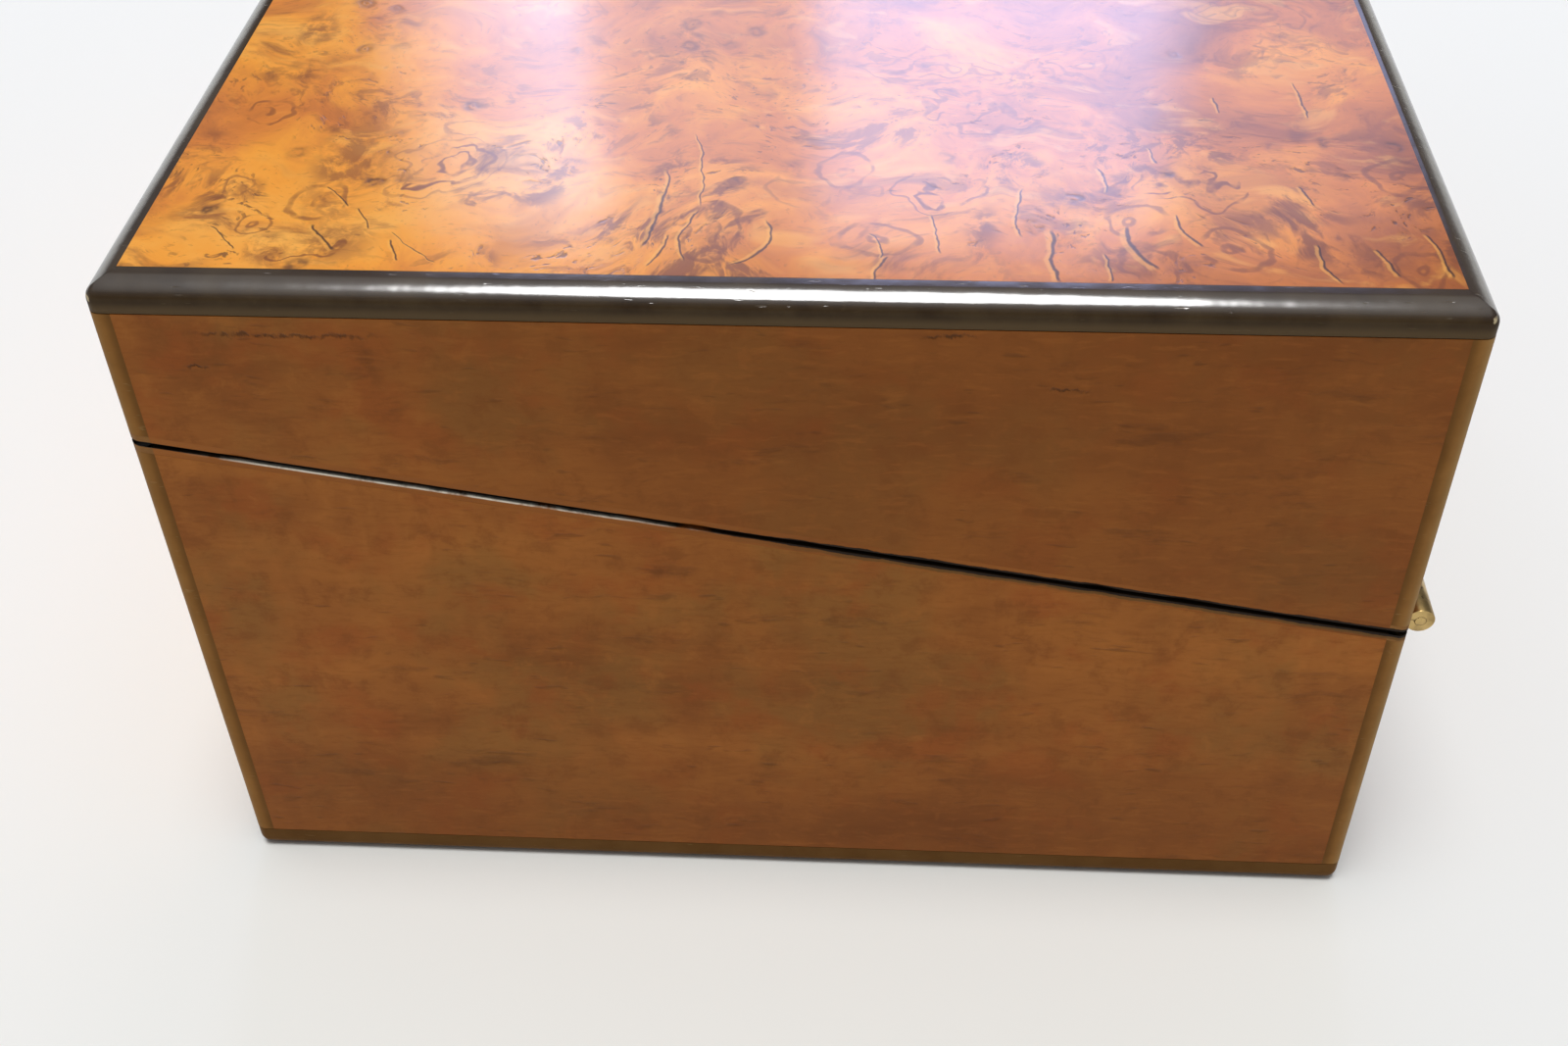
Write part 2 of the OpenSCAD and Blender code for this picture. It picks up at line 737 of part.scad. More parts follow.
module hinge_lid_leaf() color(brass) half_frame(true) long_leaf(1);

module hinge_pin() color(brass) half_frame(false) translate([-hinge_l / 2, 0, 0])
  rotate([0, 90, 0]) cylinder(h = hinge_l, r = pin_r);

// Small flap hinges

module base_flap_hinge_seats() color(brass) half_frame(false) difference() {
  at_flap_hinges() flap_seat();
  at_flap_screws(1) screw_body(short_screw, screw_clear);
}

module lid_flap_hinge_seats() color(brass) half_frame(true) difference() {
  at_flap_hinges() flap_seat();
  at_flap_screws(1) screw_body(short_screw, screw_clear);
}

module base_flap_hinge_leaves() color(brass) half_frame(false) difference() {
  at_flap_hinges() flap_leaf();
  at_flap_screws(-1) screw_body(short_screw, screw_clear);
}

module lid_flap_hinge_leaves() color(brass) half_frame(true) difference() {
  at_flap_hinges() flap_leaf();
  at_flap_screws(-1) screw_body(short_screw, screw_clear);
}

module flap_pins() at_flap_hinges() translate([-flap_hinge_l / 2, 0, 0]) rotate([0, 90, 0])
  cylinder(h = flap_hinge_l, r = flap_pin_r);

module base_flap_hinge_pins() color(brass) half_frame(false) flap_pins();

module lid_flap_hinge_pins() color(brass) half_frame(true) flap_pins();

// Screws

module base_screws() color(brass) half_frame(false) {
  at_hinge_screws() screw(long_screw);
  at_plate_screws() screw(long_screw);
  at_flap_screws(1) screw(short_screw);
}

module lid_screws() color(brass) half_frame(true) {
  at_hinge_screws() screw(long_screw);
  at_plate_screws() screw(long_screw);
  at_flap_screws(1) screw(short_screw);
}

module base_flap_screws() color(brass) half_frame(false) at_flap_screws(-1) screw(short_screw);

module lid_flap_screws() color(brass) half_frame(true) at_flap_screws(-1) screw(short_screw);

// Top and sides of the lid

module top_board() color(carcass) translate([0, 0, lid_roof_z])
  linear_extrude(top_edge_h - veneer_t)
    square([box_l - 2 * top_edge_end_w, box_d - 2 * top_edge_side_w], center = true);

module top_veneer() color(burr) translate([0, 0, box_h - veneer_t]) linear_extrude(veneer_t)
  square([box_l - 2 * top_edge_end_w, box_d - 2 * top_edge_side_w], center = true);

module top_edging() color(ebonised) translate([0, 0, lid_roof_z])
  edging_frame(top_edge_end_w, top_edge_side_w, top_edge_h, top_edge_r);

module lid_front_wall() color(carcass) difference() {
  lid_piece() long_wall_blank(-1, 0, lid_roof_z);
  half_frame(true) plate_recess();
  half_frame(true) at_plate_screws() screw_body(long_screw, screw_clear);
}

module lid_back_wall() color(carcass) difference() {
  lid_piece() long_wall_blank(1, 0, lid_roof_z);
  half_frame(true) at_hinge_screws() screw_body(long_screw, screw_clear);
}

module lid_left_wall() color(carcass) lid_piece() end_wall_blank(-1, 0, lid_roof_z);

module lid_right_wall() color(carcass) lid_piece() end_wall_blank(1, 0, lid_roof_z);

module lid_front_veneer() color(burr) lid_piece() long_veneer_blank(-1, 0, lid_roof_z);

module lid_back_veneer() color(walnut) lid_piece() long_veneer_blank(1, 0, lid_roof_z);

module lid_left_veneer() color(walnut) lid_piece() end_veneer_blank(-1, 0, lid_roof_z);

module lid_right_veneer() color(walnut) lid_piece() end_veneer_blank(1, 0, lid_roof_z);

module lid_corner_edging() color(ebonised) lid_piece() intersection() {
  corner_posts(0, lid_roof_z);
  outer_block();
}

module lid_rim_facing() color(ebonised) difference() {
  facing_frame(rim_w, lid_cut_w);
  half_frame(true) long_leaf_recess();
  half_frame(true) plate_recess();
  half_frame(true) at_hinge_screws() screw_body(long_screw, screw_clear);
  half_frame(true) at_plate_screws() screw_body(long_screw, screw_clear);
}

module strike_plate() color(brass) {
  half_frame(true) difference() {
    brass_plate();
    at_plate_screws() screw_body(long_screw, screw_clear);
  }
  on_slope() for (s = [-1, 1]) translate([s * hook_x, hook_u + hook_t / 2, 0]) rotate([90, 0, 0])
    linear_extrude(hook_t) {
      translate([0, -hook_depth]) square([hook_shank_l, hook_depth + rim_w + plate_t / 2]);
      translate([-hook_toe_l, -hook_depth]) square([hook_toe_l + 1, hook_toe_h]);
    }
}

// Inside of the lid

module lid_flap_ledges() color(inner_wood) {
  for (s = [-1, 1]) side_ledge(true, s, till_front_y + ledge_w + mitre_gap);
  intersection() {
    half_frame(true) translate([-inner_l, -reach, ledge_top_w - ledge_w])
      cube([2 * inner_l, reach, ledge_w]);
    translate([-reach, till_front_y, 0]) cube([2 * reach, ledge_w, box_h]);
  }
}

module lid_hinge_rail() color(inner_wood) hinge_rail(true);

// Writing flaps

base_flap_free_u = slope_u(partition_y, flap_back_w) + flap_fit;
lid_flap_free_u = slope_u(till_front_y, -surface_w) + flap_fit;

module base_flap_board() color(inner_wood) half_frame(false) flap_panel(base_flap_free_u);

module lid_flap_board() color(inner_wood) half_frame(true) flap_panel(lid_flap_free_u);

module base_flap_leather() color(leather) half_frame(false) flap_skin(base_flap_free_u);

module lid_flap_leather() color(leather) half_frame(true) flap_skin(lid_flap_free_u);

module lid_flap_tab() color(leather) half_frame(true) {
  tab_d = 11;
  tab_t = 0.8;
  translate([-tab_w / 2, lid_flap_free_u + 1.5, surface_w]) cube([tab_w, tab_d, tab_t]);
}

bottom_baize();
bottom_board();
bottom_edging();
base_front_wall();
base_back_wall();
base_left_wall();
base_right_wall();
base_front_veneer();
base_back_veneer();
base_left_veneer();
base_right_veneer();
base_corner_edging();
base_rim_facing();
till_partition();
ink_cell_dividers();
ink_cell_floors();
tray_cleats();
pen_tray();
ink_bottles();
ink_caps();
base_flap_ledges();
base_hinge_rail();
lock_case();
lock_plate();
keyhole_escutcheon();
hinge_base_leaf();
hinge_pin();
base_flap_hinge_seats();
base_flap_hinge_pins();
base_screws();
lock_bolt();
top_board();
top_veneer();
top_edging();
lid_front_wall();
lid_back_wall();
lid_left_wall();
lid_right_wall();
lid_front_veneer();
lid_back_veneer();
lid_left_veneer();
lid_right_veneer();
lid_corner_edging();
lid_rim_facing();
hinge_lid_leaf();
strike_plate();
lid_screws();
lid_flap_ledges();
lid_hinge_rail();
lid_flap_hinge_seats();
lid_flap_hinge_pins();
base_flap_board();
base_flap_leather();
base_flap_hinge_leaves();
base_flap_screws();
lid_flap_board();
lid_flap_leather();
lid_flap_hinge_leaves();
lid_flap_screws();
lid_flap_tab();
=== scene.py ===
# A closed writing slope: burr walnut top, plain walnut ends, dark edging, brass hinge and lock
import bpy
import bmesh
import math
from mathutils import Matrix, Vector, noise


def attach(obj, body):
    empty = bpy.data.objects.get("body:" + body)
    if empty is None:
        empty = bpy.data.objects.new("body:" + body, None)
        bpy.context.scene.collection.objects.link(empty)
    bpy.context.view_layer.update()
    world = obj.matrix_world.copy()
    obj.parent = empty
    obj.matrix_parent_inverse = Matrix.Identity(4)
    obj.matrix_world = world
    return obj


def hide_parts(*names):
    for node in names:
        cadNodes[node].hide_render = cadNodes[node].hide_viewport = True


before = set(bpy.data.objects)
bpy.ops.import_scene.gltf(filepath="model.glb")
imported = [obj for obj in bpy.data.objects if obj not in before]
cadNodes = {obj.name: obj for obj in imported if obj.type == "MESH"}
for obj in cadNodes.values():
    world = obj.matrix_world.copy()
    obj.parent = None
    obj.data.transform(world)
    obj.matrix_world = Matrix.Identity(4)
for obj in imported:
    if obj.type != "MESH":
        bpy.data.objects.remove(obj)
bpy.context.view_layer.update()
scene = bpy.context.scene
mm = 0.001
print("frame loaded with", len(cadNodes), "nodes")


def metres(**sizes):  # numbers with a point are millimetres, whole numbers are counts
    return {key: value * mm if isinstance(value, float) else value for key, value in sizes.items()}


# The box as the frame has it
box = metres(length=350.0, depth=240.0, height=152.0, wall=9.0, cornerRadius=2.2, cornerStrip=4.2,
             topEdge=6.0, bottomEdge=6.0, hingeY=123.0, hingeZ=76.0, splitRise=41.5, seamHalf=0.5)
halfLength, halfDepth = box["length"] / 2, box["depth"] / 2
innerDepth = halfDepth - box["wall"]
slopeAngle = math.atan(box["splitRise"] / (box["hingeY"] + halfDepth))
slopeSin, slopeCos = math.sin(slopeAngle), math.cos(slopeAngle)
slopeFrame = Matrix.Translation((0, box["hingeY"], box["hingeZ"])) @ Matrix.Rotation(-slopeAngle, 4, "X")


def splitHeight(y):
    return box["hingeZ"] + (box["hingeY"] - y) * slopeSin / slopeCos


def slopeRun(y, w):  # distance down the slope from the hinge axis of a depth y
    return (y - box["hingeY"] - w * slopeSin) / slopeCos


# Camera at the photograph's place
photoView = {
    "place": (0.42595, 0.01774, 0.32538), "forward": (-0.74525, -0.05189, -0.66476),
    "tiltDegrees": -1.258, "lens": 41.60,
}


def placeCamera(look):
    forward = Vector(look["forward"]).normalized()
    right = forward.cross(Vector((0, 0, 1))).normalized()
    up = right.cross(forward)
    tilt = math.radians(look["tiltDegrees"])
    right, up = (right * math.cos(tilt) + up * math.sin(tilt), up * math.cos(tilt) - right * math.sin(tilt))
    camera = bpy.data.objects.new("photoCamera", bpy.data.cameras.new("photoCamera"))
    camera.data.lens = look["lens"]
    camera.data.sensor_width = 36
    camera.data.clip_start = 0.01
    turn = Matrix((right, up, -forward)).transposed().to_4x4()
    camera.matrix_world = Matrix.Translation(look["place"]) @ turn
    scene.collection.objects.link(camera)
    scene.camera = camera


placeCamera(photoView)
print("camera placed")


# Nodes. A Signal is an output socket, so that what a tree reckons can be written as sums and products

class Signal:
    def __init__(self, tree, socket):
        self.tree, self.socket = tree, socket

    def __add__(self, other):
        return calc("ADD", self, other)

    def __sub__(self, other):
        return calc("SUBTRACT", self, other)

    def __rsub__(self, other):
        return calc("SUBTRACT", other, self)

    def __mul__(self, other):
        return calc("MULTIPLY", self, other)

    def __truediv__(self, other):
        return calc("DIVIDE", self, other)

    def __rtruediv__(self, other):
        return calc("DIVIDE", other, self)

    def __abs__(self):
        return calc("ABSOLUTE", self)


def link(signal, socket):
    signal.tree.links.new(signal.socket, socket)


def addNode(tree, kind, inputs=None, **settings):
    made = tree.nodes.new(kind)
    for key, value in settings.items():
        setattr(made, key, value)
    for key, value in (inputs or {}).items():
        if isinstance(value, Signal):
            link(value, made.inputs[key])
        else:
            made.inputs[key].default_value = value
    return made


def flow(tree, kind, inputs=None, output=0, **settings):  # one output of a new node
    return Signal(tree, addNode(tree, kind, inputs, **settings).outputs[output])


def calc(operation, first, second=0.0):
    tree = first.tree if isinstance(first, Signal) else second.tree
    return flow(tree, "ShaderNodeMath", {0: first, 1: second}, operation=operation)


def split(value, kind="XYZ"):
    return [Signal(value.tree, socket) for socket in
            addNode(value.tree, "ShaderNodeSeparate" + kind, {0: value}).outputs]


def startMaterial(name, kind="BsdfPrincipled"):  # the material, its shader, and the place on the piece
    material = bpy.data.materials.new(name)
    material.use_nodes = True
    tree = material.node_tree
    tree.nodes.clear()
    shader = tree.nodes.new("ShaderNode" + kind)
    out = tree.nodes.new("ShaderNodeOutputMaterial")
    tree.links.new(shader.outputs[0], out.inputs[0])
    return material, shader, flow(tree, "ShaderNodeTexCoord", output="Object")


def setShader(shader, linked, fixed):
    for key, signal in linked.items():
        link(signal, shader.inputs[key])
    for key, value in fixed.items():
        shader.inputs[key].default_value = value


def surfaced(shader, colour, roughness, normal, fixed, coated=False):
    linked = {"Base Color": colour, "Roughness": roughness, "Normal": normal}
    setShader(shader, {**linked, "Coat Normal": normal} if coated else linked, fixed)


def stretched(place, scale, turn=(0, 0, 0)):
    return flow(place.tree, "ShaderNodeMapping", {"Vector": place, "Scale": scale, "Rotation": turn})


def cloud(place, scale, detail=3.0, roughness=0.5, output=0):
    inputs = {"Vector": place, "Scale": scale, "Detail": detail, "Roughness": roughness}
    return flow(place.tree, "ShaderNodeTexNoise", inputs, output)


def cells(place, scale):  # distance to the nearest of scattered points, and random numbers for it
    node = addNode(place.tree, "ShaderNodeTexVoronoi", {"Vector": place, "Scale": scale})
    span, pick = (Signal(place.tree, node.outputs[key]) for key in ("Distance", "Color"))
    return span, split(pick, "Color")


def vectorMath(operation, first, second, output=0):
    key = "Scale" if operation == "SCALE" else 1
    return flow(first.tree, "ShaderNodeVectorMath", {0: first, key: second}, output, operation=operation)


def drifted(place, *pushes, detail=2.0):  # pushes a place about by (scale, amount), so that figures curl
    for scale, amount in pushes:
        push = vectorMath("SUBTRACT", cloud(place, scale, detail, output=1), (0.5, 0.5, 0.5))
        place = vectorMath("ADD", place, vectorMath("SCALE", push, amount))
    return place


def fade(value, start, end):  # 0 at start, 1 at end
    return flow(value.tree, "ShaderNodeMapRange", {"Value": value, "From Min": start, "From Max": end},
                interpolation_type="SMOOTHSTEP")


def spread(value, low, high, start=0.0, end=1.0):  # a range of roughness
    return flow(value.tree, "ShaderNodeMapRange", {"Value": value, "From Min": start, "From Max": end,
                                                   "To Min": low, "To Max": high})


def mask(place, scale, start, end, detail=3.0, roughness=0.5):  # the part of a cloud above a level
    return fade(cloud(place, scale, detail, roughness), start, end)


def shades(value, *stops):
    ramp = addNode(value.tree, "ShaderNodeValToRGB", {"Fac": value})
    marks = ramp.color_ramp.elements
    marks.remove(marks[1])
    marks[0].position, marks[0].color = stops[0][0], (*stops[0][1], 1)
    for where, colour in stops[1:]:
        marks.new(where).color = (*colour, 1)
    return Signal(value.tree, ramp.outputs["Color"])


def layered(amount, under, over):  # mixes two colours
    inputs = {0: amount, 6: under, 7: over}
    inputs = {key: (*value, 1) if isinstance(value, tuple) else value for key, value in inputs.items()}
    return flow(amount.tree, "ShaderNodeMix", inputs, 2, data_type="RGBA")


def overlaid(colour, amount, share, over):  # lays one colour over another by a share of a mask
    return layered(amount * share, colour, over)


def veiled(colour, over, share, *cut):  # the same with a cloud as the mask
    return overlaid(colour, mask(*cut), share, over)


def raised(height, distance):
    return flow(height.tree, "ShaderNodeBump", {"Height": height, "Distance": distance, "Strength": 1.0})


# Marks on the near part of the top, in millimetres: X and Y, then sizes
burrMarks = {
    # cracks: X and Y of both ends, bow, half width
    "cracks": (
        (134, -22.8, 161.5, -25.0, 1.3, 0.17), (121, -18.7, 147, -15.1, 0.8, 0.10),
        (147, -15.1, 165, -16.6, -2.2, 0.13), (151, -3.5, 165.5, -8.8, 3.2, 0.15),
        (156, -20.2, 167, -23.2, 0.6, 0.14), (142, -84.6, 149, -79.0, 0, 0.10),
        (154.5, -84.2, 163, -78.0, -0.4, 0.15), (149, -77.3, 156, -73.6, 0.5, 0.11),
        (159.5, -68.8, 165.8, -66.4, 0, 0.12), (157, -69.2, 166.5, -60.0, 0, 0.07),
        (155.5, -102.4, 163.6, -96.0, 0, 0.09), (139, 42.6, 156, 42.3, -1.6, 0.14),
        (152.7, 46.9, 169.8, 47.5, -0.8, 0.24), (148, 25.8, 161, 27.3, 0.3, 0.12),
        (151, 60.0, 165, 64.6, -1.5, 0.26), (132, 56.4, 140.5, 57.3, 0.3, 0.13),
        (124, 66.6, 130, 67.5, 0, 0.12), (147, 68.6, 157.5, 72.3, -0.6, 0.17),
        (156, 92.2, 168, 95.0, -1.0, 0.14), (137, 91.8, 144, 93.8, 0.3, 0.12),
        (152, 111.4, 166, 113.0, 0.9, 0.15), (105, 79.8, 111, 81.4, 0.2, 0.14),
        (160, 55.4, 169.5, 55.9, 0.4, 0.11), (98, 96.2, 113, 97.4, 0.6, 0.10),
        (162, 18.6, 171, 16.2, -0.8, 0.15), (155, 15.0, 163, 17.4, 0.8, 0.10),
        (157, 101.5, 166, 104.4, 0.5, 0.16)),
    # burrs with rings: X, Y, reach along X, reach along Y
    "burrs": (
        (155, -13.0, 10.5, 6.0), (158, 77.8, 9.5, 9.0), (147, -85.0, 7.0, 6.0), (114.5, -102.8, 5.0, 4.2),
        (154.5, -94.6, 3.6, 3.4), (142, -100.5, 3.6, 3.2), (133.6, 10.5, 7.0, 6.0),
        (163.0, 108.7, 6.5, 5.0), (133, 111.0, 9.0, 7.0), (157, 16.0, 7.0, 9.0), (150, 62.0, 9.0, 8.0)),
    # brown patches: X, Y, reach along X, reach along Y
    "patches": (
        (160, -79, 9, 9), (163, -90, 6, 5), (152, -105, 5, 6), (143, -98, 5, 4), (100, -103, 3, 9),
        (80, -102, 9, 4), (135, -82, 26, 9), (132.7, 0.4, 4, 4), (122, 1.5, 4, 3), (127, -52, 2.4, 2.4),
        (132, -40.5, 3, 3.4), (127, -57.8, 2, 1.8), (116, 83, 2.2, 6), (118, 95, 4, 2.2), (159, 102, 6, 6),
        (159.5, -43, 2.4, 5), (148, 92, 4, 12), (143, 54, 5, 12), (164, 20, 6, 9), (150, 84, 4, 12),
        (163, 66, 6, 7), (120, -88, 5, 5)),
}

# Burr walnut of the top and the front: amber ground, brown strands, eyes with rings, and short cracks
burrLook = {
    "straw": (0.97, 0.47, 0.080), "gold": (0.94, 0.36, 0.030), "amber": (0.72, 0.225, 0.026),
    "tan": (0.44, 0.125, 0.020), "umber": (0.21, 0.058, 0.014), "dark": (0.055, 0.021, 0.011),
    "lockSide": (-0.010, -0.110), "hingeSide": (-0.005, 0.075), "nearEdge": (0.065, 0.150),
    "tone": 0.507, "contrast": 0.70, "goldShift": 0.095, "brownShift": 0.052, "farShift": 0.014,
    "edgeDetail": 0.60, "eyeScale": 112.0, "ovalScale": 40.0, "relief": 0.030 * mm,
    # cracks: direction in degrees off the box's length, spacing, wander, half width, share left out
    "cracks": ((4, 7.5 * mm, 13.0 * mm, 0.22 * mm, 0.565), (52, 6.0 * mm, 3.0 * mm, 0.14 * mm, 0.60)),
    "crackEnd": (-0.06, -0.10), "crackSide": ((-0.080, -0.050), (-0.055, -0.085)), "marks": burrMarks,
}


def markPlace(place, x, y, reachX, reachY, turn=0.0):  # 0 at the middle of a mark, 1 at its reach
    inputs = {"Vector": place, "Location": (x * mm, y * mm, 0), "Rotation": (0, 0, turn),
              "Scale": (reachX * mm, reachY * mm, 1000)}
    return flow(place.tree, "ShaderNodeMapping", inputs, vector_type="TEXTURE")


def markSpan(place, mark):
    return flow(place.tree, "ShaderNodeVectorMath", {0: markPlace(place, *mark)}, "Value", operation="LENGTH")


def more(best, value):  # the greater of two masks, kept as they are made so that few wait at once
    return value if best is None else calc("MAXIMUM", best, value)


def mostOf(values):
    best = None
    for value in values:
        best = more(best, value)
    return best


def ringMark(place, mark):  # waves round a burr, closer on a small one
    far = markSpan(place, mark)
    return fade(calc("SINE", far * (5.2 + 0.8 * min(mark[2:]))), 0.45, 1.0) * fade(far, 1.25, 0.95)


def markedCracks(place, cracks):  # bowed lines that taper at both ends, and the pale lip along them
    lines = lips = None
    for x0, y0, x1, y1, bow, half in cracks:
        run = math.hypot(x1 - x0, y1 - y0) / 2
        turn = math.atan2(y1 - y0, x1 - x0)
        along, across, rest = split(markPlace(place, (x0 + x1) / 2, (y0 + y1) / 2, run, 1.0, turn))
        opened = 1.0 - along * along
        off = across - opened * bow
        body = fade(opened, 0.0, 0.35)
        lines = more(lines, fade(abs(off), half * 2.2, half * 0.6) * body)
        lips = more(lips, fade(abs(off + half * 3.0), half * 3.4, half * 1.2) * body)
    return lines, lips


def crackLines(place, turn, spacing, wander, half, gone):  # distance to wandering lines, where they open
    level = stretched(place, (1, 1, 1), (0, 0, math.radians(turn)))
    bend = cloud(stretched(level, (0.8, 1, 1)), 34, 3, 0.45)
    across = split(level)[1] + bend * (2 * wander)
    off = abs(calc("FRACT", across / spacing) - 0.5) * spacing
    opened = mask(stretched(level, (0.55, 1, 1)), 96, gone, gone + 0.07, 1, 0.4)
    return off + (1.0 - opened) * (2 * half), opened


def burrWalnut(look):
    material, shader, place = startMaterial("burrWalnut")
    x, y, z = split(place)
    swirl = drifted(place, (15, 0.045))
    curled = drifted(swirl, (48, 0.018))
    ruffled = drifted(curled, (170, 0.0045))
    lockSide, hingeSide = fade(y, *look["lockSide"]), fade(y, *look["hingeSide"])
    near = fade(x, *look["nearEdge"])
    detailed = near * look["edgeDetail"] + (1.0 - look["edgeDetail"])
    # Ground colour, golden at the lock side and browner by the hinge
    ground = cloud(curled, 24, 6, 0.60)
    tone = (ground - 0.5) * look["contrast"] + lockSide * look["goldShift"] - hingeSide * look["brownShift"]
    tone = tone - (1.0 - near) * look["farShift"] + look["tone"]
    colour = shades(tone, (0.28, look["umber"]), (0.40, look["tan"]), (0.49, look["amber"]),
                    (0.58, look["gold"]), (0.72, look["straw"]))
    # Soft brown drifts, broad wisps and finer strands that run from front to back
    colour = veiled(colour, look["tan"], 0.48, stretched(curled, (1.0, 0.42, 1.0)), 64, 0.48, 0.68, 4, 0.6)
    strandPlace = stretched(curled, (1.0, 0.28, 1.0))
    wisps = mask(strandPlace, 98, 0.56, 0.69, 4, 0.65) * mask(place, 26, 0.40, 0.58, 2)
    colour = overlaid(colour, wisps, 0.62, look["umber"])
    colour = veiled(colour, look["umber"], 0.45, strandPlace, 230, 0.55, 0.70, 4, 0.65)
    colour = veiled(colour, look["straw"], 0.38, strandPlace, 150, 0.56, 0.70, 3, 0.6)
    # Burrs: pale ovals with contour lines round them
    ovals = stretched(drifted(place, (62, 0.020), (150, 0.0065)), (1.0, 0.66, 1.0))
    span, pick = cells(ovals, look["ovalScale"])
    ovalOn = calc("GREATER_THAN", pick[0], 0.40)
    ripples = fade(calc("SINE", span * 62.0 + pick[1] * 6.0), 0.30, 1.0)
    within = fade(span, 0.50, 0.30) * fade(span, 0.05, 0.10)
    rings = ripples * within * (mask(place, 120, 0.36, 0.55, 3, 0.6) * ovalOn)
    colour = overlaid(colour, fade(span, 0.20, 0.06) * ovalOn, 0.42, look["straw"])
    colour = overlaid(colour, rings * detailed, 0.90, look["umber"])
    # Knotty dark places and specks, most of them near the edges
    knots = mask(swirl, 34, 0.50, 0.60, 2) * mask(ruffled, 140, 0.49, 0.62, 4, 0.65)
    colour = overlaid(colour, knots * detailed, 0.80, look["umber"])
    specks = mask(swirl, 55, 0.48, 0.62)
    specks = specks * mask(stretched(ruffled, (1.0, 0.45, 1.0)), 560, 0.585, 0.665, 3, 0.6) * detailed
    colour = overlaid(colour, specks, 0.72, look["dark"])
    # The burrs and brown patches that are listed
    bentMarks = drifted(place, (95, 0.0075), (260, 0.0022))
    brown = mostOf(fade(markSpan(bentMarks, mark), 1.15, 0.25) for mark in look["marks"]["patches"])
    colour = overlaid(colour, brown * mask(ruffled, 210, 0.36, 0.60, 4, 0.65), 0.66, look["umber"])
    ringed = mostOf(ringMark(bentMarks, mark) for mark in look["marks"]["burrs"])
    colour = overlaid(colour, ringed * mask(place, 150, 0.34, 0.52, 2), 0.62, look["umber"])
    # Small eyes in groups
    reach, pick = cells(drifted(place, (260, 0.0034)), look["eyeScale"])
    group = fade(cloud(place, 27, 2) + lockSide * near * 0.07, 0.47, 0.58)
    eyeOn = calc("GREATER_THAN", pick[0], 0.42) * group
    eyeRing = fade(reach, 0.07, 0.15) * fade(reach, 0.27, 0.16) * mask(place, 380, 0.36, 0.56, 2)
    eyeMark = more(eyeRing, fade(reach, 0.07, 0.025)) * eyeOn
    colour = overlaid(colour, fade(reach, 0.36, 0.20) * eyeOn, 0.35, look["umber"])
    colour = overlaid(colour, eyeMark * detailed, 0.72, look["dark"])
    # Thin cracks with a pale lip: at the far end by chance, at the near end where they are placed
    crack = lip = None
    for kind, side in zip(look["cracks"], look["crackSide"]):
        off, opened = crackLines(place, *kind)
        where = fade(x, *look["crackEnd"]) * fade(y, *side)
        line = fade(off, kind[3] * 1.5, kind[3] * 0.5) * where
        edge = fade(off, kind[3] * 5.0, kind[3] * 2.0) * (opened * where)
        crack, lip = more(crack, line), more(lip, calc("MAXIMUM", edge - line, 0.0))
    marked, markedLip = markedCracks(drifted(place, (110, 0.0030), (420, 0.0009)), look["marks"]["cracks"])
    for amount, share, over in ((markedLip, 0.42, "straw"), (marked, 0.88, "dark"),
                                (lip, 0.34, "straw"), (crack, 0.88, "dark")):
        colour = overlaid(colour, amount, share, look[over])
    # Pores
    colour = veiled(colour, look["umber"], 0.25, stretched(curled, (1.0, 0.35, 1.0)), 1500, 0.60, 0.74, 2)
    height = lip * 0.3 - crack * 1.8 - (eyeMark + specks) * 0.30 + cloud(place, 60, 3) * 1.5
    surfaced(shader, colour, spread(ground, 0.36, 0.52), raised(height, look["relief"]),
             {"IOR": 1.3, "Coat Weight": 0.85, "Coat Roughness": 0.115, "Coat IOR": 1.52}, True)
    return material


# Plain walnut of the ends and the back: level grain, soft upright bands, short flecks
plainLook = {
    "light": (0.410, 0.141, 0.026), "middle": (0.312, 0.102, 0.019), "deep": (0.200, 0.060, 0.011),
    "olive": (0.250, 0.112, 0.024), "red": (0.330, 0.080, 0.014), "fleck": (0.055, 0.022, 0.008),
    "stretch": 0.20, "lowShadeHeight": 35 * mm, "lidShade": (-0.13, 0.02), "relief": 0.12 * mm,
    # cracks on the lid's show end: middle y, middle z, half length, half height, all in millimetres
    "cracks": ((-86, 142.2, 20, 0.34), (50, 133.6, 4.5, 0.26), (29, 144.6, 5.5, 0.28),
               (-103, 135.2, 2.6, 0.26)),
}


def splitPlane(y):  # height of the split over a depth that a material reads
    return y * (-slopeSin / slopeCos) + splitHeight(0)


def alongGrain(along, share):
    return (share, 1.0, 1.0) if along == "x" else (1.0, share, 1.0)


